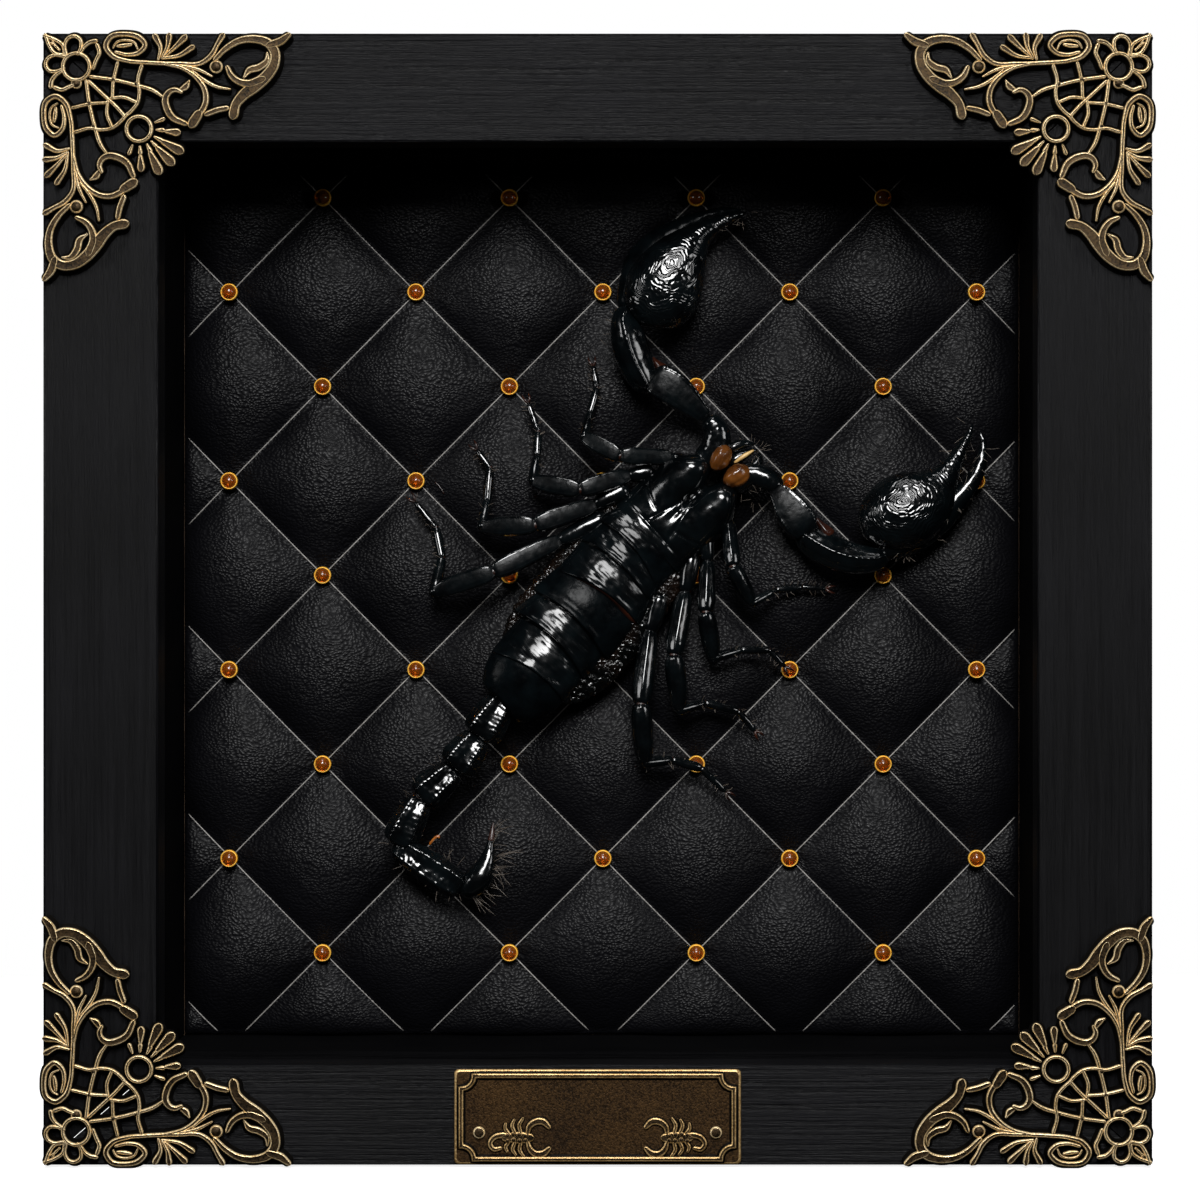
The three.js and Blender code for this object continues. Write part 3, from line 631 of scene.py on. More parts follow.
# Strokes of the upper left corner: (x, y, width) in pixels. The upper half is mirrored over the diagonal.
CORNER_PIXEL = (43.0, 34.0)
SCROLL_HALF = [
    [(150, 65, 5.5), (128, 63, 5.5), (114, 58, 6.5), (107.5, 48, 7), (112, 39.5, 7), (127, 36.5, 6.5),
     (141, 40, 7), (146.5, 47.5, 6.5), (141, 54.5, 6), (129, 57, 5), (118, 54.5, 4)],
    [(139, 51, 2.4), (136.5, 45.5, 3), (127, 42.5, 3), (117.5, 45.5, 3), (115, 50, 2.4)],
    [(120, 48.5, 4), (126, 48, 5.6), (132, 47, 4)],
    [(148, 65, 5.5), (180, 66, 5.5), (203, 65, 6), (213, 57, 6.5), (219, 46, 6), (223.5, 38.5, 7.5)],
    [(160, 61, 3.5), (162, 50, 5.5), (157, 39.5, 8)],
    [(164, 59, 3.5), (169, 49, 5.5), (170.5, 39, 8)],
    [(167, 58, 3.5), (178, 48, 6), (185.5, 40.5, 8.5)],
    [(164, 60.5, 3.5), (181, 57.5, 5.5), (193, 50, 7.5)],
    [(217, 61, 6), (227, 51, 7.5), (241, 43, 9), (257, 41.5, 10.5), (269.5, 45.5, 12), (276, 54.5, 12.5),
     (275.5, 66, 13), (268, 78, 14.5), (256, 88.5, 16), (244.5, 97.5, 14), (237, 107, 12), (235, 115.5, 13)],
    [(262, 82, 11), (250, 86, 10), (239.5, 83.5, 8.5), (232, 77, 7.5), (229, 70.5, 6)],
    [(272, 47, 10), (282, 43.5, 10.5), (289, 38, 7.5)],
    [(166, 66, 4.5), (185, 71, 5), (198, 80, 6), (206, 92, 7), (207, 104, 7.5), (203, 113, 7.5),
     (199, 118, 7)],
    [(199, 117.5, 12), (194.5, 124.5, 13)],
    [(186, 125.5, 7), (174, 119.5, 8.5), (168, 109.5, 9), (167, 100, 8.5), (171, 94, 7.5), (177, 92, 6.5),
     (182, 94, 5)],
    [(182, 68, 2.6), (200, 72, 4.4), (213, 78.5, 2.6)],
    [(194, 73, 2.6), (205, 82, 4.4), (218, 89, 4.2), (231, 91.5, 2.6)],
    [(209, 116, 7), (218, 112.5, 7.5), (227, 110.5, 7)],
    [(119, 66, 4.4), (117, 74, 4.4), (115, 84, 4.4), (114, 100, 4)],
    [(143, 69, 5), (139.5, 82, 4.4), (141, 94, 4.4), (139, 105, 4.4), (133, 113, 4.4), (126, 119, 4.4)],
    [(93, 79, 4.6), (115, 82, 4.6), (136, 87, 4.6), (157, 94, 4.8), (164, 99, 3.4)],
    [(113, 100.5, 4), (125, 99.5, 4.4), (137, 104, 4.4)],
    [(68, 57, 4.4), (66.5, 47, 4.6), (70, 40.5, 5), (76, 38.4, 5.2), (82, 42, 5), (82.5, 50, 4.6),
     (80, 56, 4.4)],
    [(82, 55, 4.2), (87, 48, 5), (92, 44.5, 5.6), (97, 43.5, 6)],
    [(99, 48, 5.4), (101, 55, 5.2), (98, 62, 5), (95, 70, 4.6)],
    [(47, 38.5, 5), (57, 42, 4.8), (64.5, 47.5, 4.6), (66.5, 57, 4.4)],
    [(53, 45.5, 2.4), (58, 48.5, 2.8), (61, 52.5, 2.4)],
]
SCROLL_LOW_HALF = [
    [(268, 55, 3), (268, 62, 7), (260, 69, 9), (250, 72, 8), (245, 79, 3)],
    [(190, 83, 3), (187, 88, 8), (181, 92, 5)],
]
SCROLL_MIDDLE = [
    [(91, 84, 4.5), (105, 97, 4.5), (117, 108, 4.5), (126, 118, 4.5)],
]
KNOBS = [(217.5, 69, 7.2, True), (115, 82, 3.6, True), (78, 85.5, 6, False), (138, 86.5, 3.2, True)]
FLOWERS = [(78, 69, 13.4), (140.5, 131, 12.4)]
# Petals of the second flower: turn in degrees, from and to radius, width
PETALS = [(-22, 18, 27, 5.5), (3, 18, 25, 6), (27, 18, 26, 6), (45, 18, 25, 5), (63, 18, 26, 6),
          (87, 18, 25, 6),
          (112, 18, 27, 5.5), (5, 28, 40, 10), (28, 28, 48, 13), (46, 28, 48, 13), (65, 28, 48, 13),
          (87, 28, 41, 10)]


# Section of a cast stroke: share of the flat top, of the bevel beside it, of the low skirt and of the
# height. The skirts are dark with patina and painted shade, the bevels are rubbed bright and carry a
# painted highlight, and the top is very slightly hollow.
STROKE_SECTION = np.array([(-1, -1, -1, 0), (-1, -1, -1, 0.16), (-1, -1, -0.2, 0.36), (-1, -1, 0, 0.8),
                           (-1, -0.6, 0, 0.94), (-1, 0, 0, 1), (-0.85, 0, 0, 0.995), (0, 0, 0, 0.985),
                           (0.85, 0, 0, 0.995), (1, 0, 0, 1), (1, 0.6, 0, 0.94), (1, 1, 0, 0.8),
                           (1, 1, 0.2, 0.36), (1, 1, 1, 0.16), (1, 1, 1, 0)])
FACE, EDGE, SIDE, FIELD = range(4)
STROKE_MARKS = [SIDE] * 3 + [EDGE] * 2 + [FACE] * 4 + [EDGE] * 2 + [SIDE] * 4
STROKE_BEVEL = 1.4


def stroke_rings(form, centre, side, half, skirt, to_place, thick, closed):
    flat, slope, low, height = STROKE_SECTION.T
    bevel = np.minimum(STROKE_BEVEL, half * 0.7)
    reach = (half - bevel)[:, None] * flat + bevel[:, None] * slope + skirt[:, None] * low
    spots = centre[:, None] + side[:, None] * reach[..., None]
    rings = to_place(spots[..., 0], spots[..., 1], np.broadcast_to(height * thick, reach.shape))
    faces = wrapped(rings, closed_path=closed)
    marks = [STROKE_MARKS[i % len(flat)] for i in range(len(faces) - (0 if closed else 2))]
    form.add(rings, faces, marks + ([] if closed else [SIDE, SIDE]))


def stroke(form, rows, to_place, thick, closed=False, skirt=3.0, top=0.8):
    """A cast stroke along rows of (x, y, width), with round ends; to_place turns (x, y, height) into a point.

    top is the share of the width that the upper face and its bevels take, skirt how far the foot spreads
    beyond them.
    """
    length = np.linalg.norm(np.diff(np.array(rows)[:, :2], axis=0), axis=1).sum()
    line = np.array(rows, float) if closed else spline(rows, max(6, int(length / 1.8)))
    spread = np.full(len(line), skirt)
    if not closed:
        ends = []
        steps = [(0.38, 0.92), (0.7, 0.71), (0.92, 0.4), (1.0, 0.05)]
        for at, ahead in ((0, 1), (-1, -2)):
            way = line[at, :2] - line[ahead, :2]
            way = way / np.linalg.norm(way)
            half = line[at, 2] / 2
            ends.append(np.array([[*(line[at, :2] + way * half * a), line[at, 2] * b] for a, b in steps]))
        shrink = np.array([b for _, b in steps]) * skirt
        line = np.concatenate([ends[0][::-1], line, ends[1]])
        spread = np.concatenate([shrink[::-1], spread, shrink])
    centre, half = line[:, :2], line[:, 2] / 2 * top
    way = np.roll(centre, -1, axis=0) - np.roll(centre, 1, axis=0) if closed else np.gradient(centre, axis=0)
    way = way / np.linalg.norm(way, axis=1, keepdims=True).clip(1e-9)
    stroke_rings(form, centre, np.stack([-way[:, 1], way[:, 0]], axis=-1), half, spread, to_place, thick,
                 closed)


def circle(x, y, radius, width, steps=40):
    turn = np.linspace(0, 2 * np.pi, steps, endpoint=False)
    return [(x + radius * math.cos(t), y + radius * math.sin(t), width) for t in turn]


def knob(form, x, y, radius, to_place, thick):
    """Low round boss with a domed top."""
    rings = []
    turn = np.linspace(0, 2 * np.pi, KNOB_SIDES, endpoint=False)
    for share, height in [(1, 0), (1, 0.55), (0.92, 0.8), (0.7, 0.96), (0.4, 1.04), (0.03, 1.07)]:
        rings.append(to_place(x + radius * share * np.cos(turn), y + radius * share * np.sin(turn),
                              np.full(KNOB_SIDES, height * thick)))
    rings = np.array(rings)
    faces = wrapped(rings)
    marks = [[SIDE, SIDE, EDGE, FACE, FACE][i // KNOB_SIDES] for i in range(len(faces) - 2)] + [SIDE, FACE]
    form.add(rings, faces, marks)


def make_corner(name, flip_x, flip_z):
    """One corner of scrollwork, turned into its place."""
    form = Form()
    edge_x = outline["right"] if flip_x else outline["left"]
    edge_z = outline["bottom"] if flip_z else outline["top"]

    def place_for(swap):
        def to_place(x, y, height):
            along, down = (x - CORNER_PIXEL[0]) * PIXEL, (y - CORNER_PIXEL[1]) * PIXEL
            if swap:
                along, down = down, along
            return np.stack([edge_x + (-along if flip_x else along), FACE_Y - FIT_GAP - height,
                             edge_z + (down if flip_z else -down)], axis=-1)
        return to_place

    straight, mirrored = place_for(False), place_for(True)
    lift = 0
    for rows in SCROLL_HALF:
        lift = (lift + 0.031) % 0.12
        stroke(form, rows, straight, BRASS_THICKNESS - 0.13 + lift)
        stroke(form, rows, mirrored, BRASS_THICKNESS - 0.13 + lift)
    for rows in SCROLL_LOW_HALF:
        stroke(form, rows, straight, BRASS_THICKNESS * 0.6)
        stroke(form, rows, mirrored, BRASS_THICKNESS * 0.6)
    for rows in SCROLL_MIDDLE:
        stroke(form, rows, straight, BRASS_THICKNESS - 0.2)
    for x, y, radius, both in KNOBS:
        knob(form, x, y, radius, straight, BRASS_THICKNESS * 0.93)
        if both:
            knob(form, x, y, radius, mirrored, BRASS_THICKNESS * 0.93)
    for x, y, radius in FLOWERS:
        stroke(form, circle(x, y, radius, 4.8), straight, BRASS_THICKNESS, closed=True)
    x, y, _ = FLOWERS[1]
    for turn, near, far, width in PETALS:
        c, s = math.cos(math.radians(turn)), math.sin(math.radians(turn))
        rows = [(x + c * r, y + s * r, w) for r, w in
                ((near, width * 0.55), ((near + far) / 2, width * 0.85), (far - width * 0.3, width))]
        stroke(form, rows, straight, BRASS_THICKNESS * 0.9 + 0.02 * (turn % 3))
    turn_out(form.piece(name + "_scrollwork", [brass_face, brass_edge_wear_and_highlight, brass_side_patina_and_shade], [name]))


def turn_out(thing):
    """Turn every face of a piece outwards."""
    work = bmesh.new()
    work.from_mesh(thing.data)
    bmesh.ops.recalc_face_normals(work, faces=work.faces)
    work.to_mesh(thing.data)
    work.free()


def make_corners():
    for name, flip_x, flip_z in (("corner_top_left", False, False), ("corner_top_right", True, False),
                                 ("corner_bottom_left", False, True), ("corner_bottom_right", True, True)):
        make_corner(name, flip_x, flip_z)


# Brass plate

# The scorpion ornament at the left of the plate: (x, y, width) in pixels; the right one is mirrored.
ORNAMENT = [
    [(511, 1136, 7), (502, 1134, 6), (494, 1136.5, 5.5), (490.5, 1142.5, 5), (494.5, 1148, 5),
     (500.5, 1147, 4)],
    [(506, 1136.5, 8), (511.5, 1136.5, 10)], [(512, 1136.5, 10), (517.5, 1136.5, 12)],
    [(518, 1136.5, 12), (523.5, 1136.5, 12)], [(524, 1136.5, 11), (530, 1136.5, 9)],
    [(528, 1132.5, 4), (529.5, 1125.5, 6), (536, 1120.5, 7), (543.5, 1120.5, 7), (549, 1125.5, 5)],
    [(528, 1141, 4), (530.5, 1148, 6), (537, 1153, 7), (544, 1152, 7), (549, 1147.5, 5)],
    [(509, 1132, 3.8), (505.5, 1127, 4), (506, 1122.5, 3)],
    [(515, 1131, 3.8), (512.5, 1124, 4), (514.5, 1119, 3)],
    [(521, 1131, 3.8), (519.5, 1124, 4), (523, 1117.5, 3)],
    [(509, 1141, 3.8), (506, 1146, 4), (507.5, 1150, 3)],
    [(515, 1142, 3.8), (513, 1148.5, 4), (516, 1153, 3)],
    [(521, 1142, 3.8), (520, 1149, 4), (524, 1155, 3)],
]
ORNAMENT_BEADS = [(508, 1134, 2.4), (508, 1139.5, 2.4), (513.5, 1133, 2.6), (514, 1138.5, 2.8),
                  (519.5, 1133.5, 2.8), (520, 1139.5, 2.8), (525.5, 1134.5, 2.4), (526, 1139, 2.4)]
PLATE_MIDDLE_PIXEL = 597.6
RIVET_PROFILE = [(0.02, -0.2), (1.1, -0.2), (1.1, 0.3), (1.02, 0.5), (0.85, 0.62), (0.5, 0.68), (0.02, 0.7)]


def make_plate():
    form = Form()
    middle_z = PLATE_BOTTOM + PLATE_HEIGHT / 2
    # Base with rounded corners and a bevelled rim
    rings = []
    for shrink, height in ((0, 0), (0, 0.8), (0.16, 1.02), (0.4, PLATE_BASE), (0.6, PLATE_BASE)):
        x, z = PLATE_WIDTH / 2 - shrink, PLATE_HEIGHT / 2 - shrink
        loop = rounded([(-x, -z), (x, -z), (x, z), (-x, z)], 0.9, 5)
        rings.append(np.stack([loop[:, 0], np.full(len(loop), FACE_Y - FIT_GAP - height),
                               loop[:, 1] + middle_z], -1))
    rings = np.array(rings)
    faces = wrapped(rings)
    sides = rings.shape[1]
    form.add(rings, faces, [[SIDE, EDGE, EDGE, FIELD][i // sides] for i in range(len(faces) - 2)]
             + [SIDE, FIELD])
    field = FACE_Y - FIT_GAP - PLATE_BASE

    def on_plate(x, y, height):
        flat = at_depth(x, y, 0.0)
        return np.stack([flat[..., 0], np.broadcast_to(field - height, flat[..., 0].shape), flat[..., 2]], -1)

    # Raised border with a quarter round notch at each corner
    left, right, top, bottom, notch = 461.5, 733.7, 1074.6, 1157.8, 13.0
    path = []
    for cx, cy, start in ((left, top, 90), (right, top, 180), (right, bottom, 270), (left, bottom, 0)):
        for k in range(9):
            t = math.radians(start - 90 * k / 8)
            path.append((cx + notch * math.cos(t), cy + notch * math.sin(t), 4.6))
    dense = []
    for i, (x, y, w) in enumerate(path):
        nx, ny, _ = path[(i + 1) % len(path)]
        steps = max(1, int(math.hypot(nx - x, ny - y) / 6))
        dense += [(x + (nx - x) * k / steps, y + (ny - y) * k / steps, w) for k in range(steps)]
    border_ring(form, dense, on_plate, 0.8)
    for flip in (False, True):
        for rows in ORNAMENT:
            rows = [(2 * PLATE_MIDDLE_PIXEL - x if flip else x, y, w) for x, y, w in rows]
            stroke(form, rows, on_plate, 0.62, skirt=1.3, top=0.95)
        for x, y, radius in ORNAMENT_BEADS:
            knob(form, 2 * PLATE_MIDDLE_PIXEL - x if flip else x, y, radius, on_plate, 0.72)
    turn_out(form.piece("cast_plate", [brass_face, brass_rim_wear_and_highlight, brass_side_patina_and_shade, plate_field], ["name_plate"]))
    for name, x in (("plate_rivet_left", -RIVET_X), ("plate_rivet_right", RIVET_X)):
        form = Form()
        rings = lathe(RIVET_PROFILE, (x, field - FIT_GAP, RIVET_Z), RIVET_SIDES)
        bands = [SIDE, SIDE, EDGE, EDGE, FACE, FACE]
        marks = [band for band in bands for _ in range(RIVET_SIDES)] + [SIDE, FACE]
        form.add(rings, wrapped(rings), marks)
        turn_out(form.piece("pin_" + name, [brass_face, brass_edge_wear_and_highlight, brass_side_patina_and_shade], [name]))


def border_ring(form, rows, to_place, thick):
    """A closed raised bead whose points are kept as they are, corners included."""
    line = np.array(rows)
    centre, half = line[:, :2], line[:, 2] / 2
    before = centre - np.roll(centre, 1, axis=0)
    after = np.roll(centre, -1, axis=0) - centre
    before /= np.linalg.norm(before, axis=1, keepdims=True)
    after /= np.linalg.norm(after, axis=1, keepdims=True)
    way = before + after
    way /= np.linalg.norm(way, axis=1, keepdims=True).clip(1e-6)
    side = np.stack([-way[:, 1], way[:, 0]], axis=-1)
    widen = 1 / np.maximum(0.6, np.abs((before * way).sum(axis=1)))
    stroke_rings(form, centre, side, half * widen, np.full(len(line), 2.2), to_place, thick, True)


# Scorpion

BLACK, DULL, FLAT, BACK, UPPER_DOME, RIGHT_DOME, BROWN, SKIN, JAW, HORN, FLECK = range(11)
SCORPION_REACH = (EYE_DISTANCE + 25) / EYE_DISTANCE * PIXEL


def loft(form, rows, mark=BLACK, rings=28, sides=24, blunt=(0.12, 0.12), square=2.2, keels=None, grain=0.0,
         bow=0.0, wrinkle=0.0, top=None):
    """A shell part lofted along rows of (x, y, lift, half width in pixels, half height in millimetres).

    blunt rounds the ends over a share of the length, square swells the section towards a box, keels is a
    list of (degrees round the section, height, spread) with the count of granules along each, grain
    roughens the skin, bow bends the sides forward, wrinkle folds it, and top is the finish of the upper
    side where that is another.
    """
    line = spline(rows, rings, even=False)
    u = eased(rings)
    centre = at_depth(line[:, 0], line[:, 1], SPECIMEN_DEPTH - line[:, 2])
    way = np.gradient(centre, axis=0)
    way /= np.linalg.norm(way, axis=1, keepdims=True)
    across = np.cross([0.0, -1.0, 0.0], way)
    across /= np.linalg.norm(across, axis=1, keepdims=True)
    up = np.cross(way, across)
    start = np.sqrt(np.clip(1 - (1 - np.clip(u / max(blunt[0], 1e-6), 0, 1)) ** 2, 0, 1))
    end = np.sqrt(np.clip(1 - (1 - np.clip((1 - u) / max(blunt[1], 1e-6), 0, 1)) ** 2, 0, 1))
    close = np.maximum(start * end, 0.02)
    half = np.maximum(line[:, 3], 0.15) * SCORPION_REACH * close
    tall = np.maximum(line[:, 4], 0.03) * close
    turn = np.linspace(0, 2 * np.pi, sides, endpoint=False)
    c, s = np.cos(turn), np.sin(turn)
    x = np.sign(c) * np.abs(c) ** (2 / square)
    y = np.sign(s) * np.abs(s) ** (2 / square)
    swell = np.ones((rings, sides))
    if keels:
        crests, teeth = keels
        tooth = 0.6 + 0.4 * np.abs(np.sin(np.pi * teeth * u))
        for at, rise, spread in crests:
            off = (np.degrees(turn) - at + 180) % 360 - 180
            crest = rise * np.exp(-(off / spread) ** 2)
            swell = swell + crest[None, :] * (tooth[:, None] if rise > 0 else 1)
    points = (centre[:, None] + across[:, None] * (half[:, None] * x[None] * swell)[..., None]
              + up[:, None] * (tall[:, None] * y[None] * swell)[..., None])
    if bow:
        points = points + way[:, None] * (bow * SCORPION_REACH * (x ** 2)[None, :, None])
    if grain or wrinkle:
        out = across[:, None] * x[None, :, None] + up[:, None] * y[None, :, None]
        bumps = grain * ripple(points, 0.55, 3.1) + 0.6 * grain * ripple(points, 1.6, 8.2)
        bumps = bumps + wrinkle * np.sin(ripple(points, 1.6, 1.7) * 7 + u[:, None] * 190)
        points = points + out * (bumps * close[:, None])[..., None]
    ring = [mark if top is None or abs(j + 0.5 - sides / 4) > sides * 0.1 else top for j in range(sides)]
    form.add(points, wrapped(points), ring * (rings - 1) + [mark, mark])


def between(a, b, share):
    return a[0] + (b[0] - a[0]) * share, a[1] + (b[1] - a[1]) * share


# Head shield: rear middle, the way forward and to its right in pixels, then its length, half width and notch
SHIELD_REAR = (650.0, 537.0)
SHIELD_FORWARD = (0.738, -0.675)
SHIELD_RIGHT = (0.675, 0.738)
SHIELD_LENGTH, SHIELD_HALF, SHIELD_NOTCH = 97.0, 48.0, 20.0


def make_head_shield(form):
    """Head shield with two swollen front lobes, a furrow between them and a small eye mound."""
    nu, nv = 100, 90
    u = np.linspace(0, 1, nu)[:, None] * np.ones((1, nv))
    v = np.sin(np.linspace(-math.pi / 2, math.pi / 2, nv))[None] * np.ones((nu, 1))
    t = v * SHIELD_HALF
    front = (SHIELD_LENGTH - SHIELD_NOTCH * np.exp(-(t / 8) ** 2)
             - 0.04 * np.maximum(np.abs(t) - 21, 0) ** 2)
    s = -4 + u * (front + 4)
    narrow = 1 - 0.10 * np.clip((s - 40) / 50, 0, 1) ** 2
    t = t * narrow
    # One dome at the rear parts into two lobes at the front.
    single = 3.4 + 5.1 * np.maximum(1 - np.abs(v) ** 2.3, 0) ** 0.5
    double = 3.4 + 5.7 * np.maximum(1 - ((np.abs(t) - 22) / 25.5) ** 2, 0.02) ** 0.5
    part = np.clip((s - 18) / 44, 0, 1)
    part = part * part * (3 - 2 * part)
    lift = single + (double - single) * part
    lift = lift - 0.9 * np.clip((s - 40) / 10, 0, 1) * np.exp(-(t / 2.4) ** 2)
    # Two furrows part from the notch and run back on either side of the eye mound.
    spread = 2 + np.clip(62 - s, 0, 60) * 0.24
    lift = lift - 0.32 * np.clip((s - 2) / 14, 0, 1) * np.clip((68 - s) / 8, 0, 1) * np.exp(
        -((np.abs(t) - spread) / 1.7) ** 2)
    lift = lift + 0.7 * np.exp(-((s - 45) / 6) ** 2 - (t / 4.5) ** 2)
    lift = lift - 0.3 * np.exp(-((s - 8) / 2.0) ** 2) * np.clip(1.2 - np.abs(v), 0, 1)
    lift = lift - 0.25 * np.exp(-((s - 22 - 0.006 * t ** 2) / 2.2) ** 2) * np.clip((np.abs(t) - 12) / 8, 0, 1)
    roll = np.clip((u - 0.8) / 0.2, 0, 1)
    lift = 3.2 + (lift - 3.2) * np.sqrt(np.maximum(1 - roll ** 2.4, 0.02))
    px = SHIELD_REAR[0] + SHIELD_FORWARD[0] * s + SHIELD_RIGHT[0] * t
    py = SHIELD_REAR[1] + SHIELD_FORWARD[1] * s + SHIELD_RIGHT[1] * t
    top = at_depth(px, py, SPECIMEN_DEPTH - lift)
    dents = 0.035 * ripple(top, 1.8, 2.2) + 0.012 * ripple(top, 0.7, 6.1)
    top[..., 1] += dents * np.clip(1.1 - np.abs(v), 0, 1)
    under = at_depth(px, py, np.full(px.shape, SPECIMEN_DEPTH - 1.6))
    grid = np.arange(nu * nv).reshape(nu, nv)
    quads = grid_faces(grid)
    faces = quads.tolist() + (quads[:, ::-1] + nu * nv).tolist()
    rim = grid_rim(grid)
    n = len(rim)
    faces += [[int(rim[(i + 1) % n]), int(rim[i]), int(rim[i]) + nu * nv, int(rim[(i + 1) % n]) + nu * nv]
              for i in range(n)]
    form.add(np.concatenate([top.reshape(-1, 3), under.reshape(-1, 3)]), faces, BLACK)


# Back plates: middle of the rear edge, half width in pixels, half height in millimetres
BACK_PLATES = [(634, 550, 47, 4.5), (620, 565, 48, 4.6), (602, 592, 50, 4.7), (575, 620, 52, 4.7),
               (555, 640, 50, 4.6), (533, 672, 46, 4.4)]
# Along one back plate: share of its length, how much narrower, and how far it drops as a share of that length
PLATE_PROFILE = [(-0.4, 5, 0.34), (0, 3, 0.19), (0.3, 1.5, 0.1), (0.6, 0.5, 0.045), (0.78, 0, 0.03),
                 (0.86, 0, 0.0), (0.94, 0, -0.012), (1, 0, 0.012)]
LAST_PLATE = [(541, 660, 4.6, 42, 4.0), (526, 678, 4.7, 43, 4.1), (512, 692, 4.6, 36, 3.7),
              (500, 703, 4.5, 23, 3.0)]
SIDE_SKIN = [(684, 512, 3, 40, 2.2), (660, 532, 3.2, 52, 2.6), (634, 558, 3.3, 58, 2.8),
             (590, 612, 3.3, 63, 2.9), (552, 656, 3.2, 58, 2.7), (524, 688, 3.4, 34, 2.2)]


def make_body(form):
    make_head_shield(form)
    loft(form, SIDE_SKIN, SKIN, rings=170, sides=76, blunt=(0.1, 0.1), square=2.6, grain=0.2, wrinkle=0.24)
    before = SHIELD_REAR
    for i, (x, y, half, tall) in enumerate(BACK_PLATES):
        long = math.hypot(x - before[0], y - before[1]) * SCORPION_REACH
        # Each plate rises towards its rear edge and dips under the one before it.
        rows = [(*between(before, (x, y), share), 4.85, half - narrow, tall - drop * long)
                for share, narrow, drop in PLATE_PROFILE]
        loft(form, rows, DULL if i == 3 else BACK, rings=48, sides=90, blunt=(0.06, 0.045), square=1.95,
             grain=0.03, bow=9.0)
        if i == 2:
            # A line of red brown skin shows under the rear edge.
            strip = [(*between(before, (x, y), 0.7), 4.75, half - 2, tall - 0.2),
                     (x - 1.2, y + 1.4, 4.75, half - 2, tall - 0.2)]
            loft(form, strip, BROWN, rings=10, sides=64, blunt=(0.3, 0.3), square=2.05, bow=9.0)
        before = (x, y)
    loft(form, LAST_PLATE, DULL, rings=50, sides=90, blunt=(0.08, 0.1), square=1.95, grain=0.03, bow=4.0)


def make_jaws(form):
    for rows in ([(714, 469, 5, 7, 1.8), (718, 463, 5.9, 9.5, 2.5), (723, 454, 6.1, 10, 2.6),
                  (728, 447, 5.4, 7, 1.8)],
                 [(727, 483, 5, 7, 1.8), (732, 479, 6.0, 10, 2.6), (740, 474, 6.2, 11, 2.7),
                  (748, 469, 5.4, 7, 1.8)]):
        loft(form, rows, JAW, rings=40, sides=36, blunt=(0.4, 0.4), grain=0.09,
             keels=([(70, 0.1, 12), (125, -0.08, 10)], 1))
    for rows in ([(728, 450, 5.0, 6, 1.6), (742, 444, 4.8, 5, 1.3), (756, 444, 4.3, 1.2, 0.3)],
                 [(745, 471, 5.0, 7, 1.7), (757, 464, 4.8, 5.5, 1.3), (760, 452, 4.3, 1.2, 0.3)],
                 [(728, 464, 4.4, 6, 1.5), (745, 454, 4.2, 5, 1.3), (758, 449, 4, 1, 0.3)]):
        loft(form, rows, BLACK, rings=20, sides=16, blunt=(0.2, 0.1), grain=0.1)
    loft(form, [(734, 463, 6.3, 1.2, 0.4), (744, 456, 6.2, 2.2, 0.5), (754, 450, 5.8, 1.0, 0.3)], HORN,
         rings=20, sides=12, blunt=(0.1, 0.1))


# Tail joints with the half width of the segment that follows
TAIL_JOINTS = [(502, 701, 19), (478, 737, 18.5), (454, 769, 17), (420, 799, 16.5), (397, 846, 16),
               (463, 889, 13)]
STING = [(458, 887, 4.2, 6, 1.6), (468, 887, 4.3, 12, 2.5), (480, 877, 4.5, 14, 2.8),
         (487, 862, 4.7, 9.5, 2.0),
         (490, 848, 4.8, 5, 1.1), (492, 836, 4.8, 3, 0.65), (493, 824, 4.6, 0.6, 0.12)]
STING_TIP = [(491, 842, 4.9, 3.6, 0.85), (492, 834, 4.9, 2.8, 0.6), (493.5, 822, 4.6, 0.6, 0.12)]
TAIL_KEELS = [(58, 0.13, 7), (122, 0.13, 7), (90, -0.1, 14), (12, 0.09, 8), (168, 0.09, 8)]


def make_tail(form):
    for i, (x, y, half) in enumerate(TAIL_JOINTS[:-1]):
        a, b = (x, y), TAIL_JOINTS[i + 1][:2]
        long = i == 4
        rows = [(*between(a, b, -0.06), 4.0, half * 0.6, 2.0), (*between(a, b, 0.16), 4.2, half * 0.84, 2.8),
                (*between(a, b, 0.5), 4.3, half * 1.0, 3.15),
                (*between(a, b, 0.84), 4.3, half * (0.9 if long else 1.0), 3.1 if not long else 2.9),
                (*between(a, b, 1.0), 4.2, half * 0.74, 2.4)]
        loft(form, rows, BLACK, rings=70, sides=72, blunt=(0.12, 0.09), square=2.4 if long else 2.15,
             grain=0.1 if long else 0.07,
             keels=(TAIL_KEELS, 11 if not long else 18), wrinkle=0.07 if long else 0.0)
        if 0 < i < 4:
            # Dark brown skin in the joint
            skin = [(*between(a, b, share), 4.0, half * 0.55, 1.9) for share in (-0.1, 0.08)]
            loft(form, skin, BROWN, rings=10, sides=24, blunt=(0.2, 0.2))
    loft(form, STING, BLACK, rings=60, sides=32, blunt=(0.1, 0.02), grain=0.05)
    loft(form, STING_TIP, BROWN, rings=16, sides=12, blunt=(0.1, 0.05))


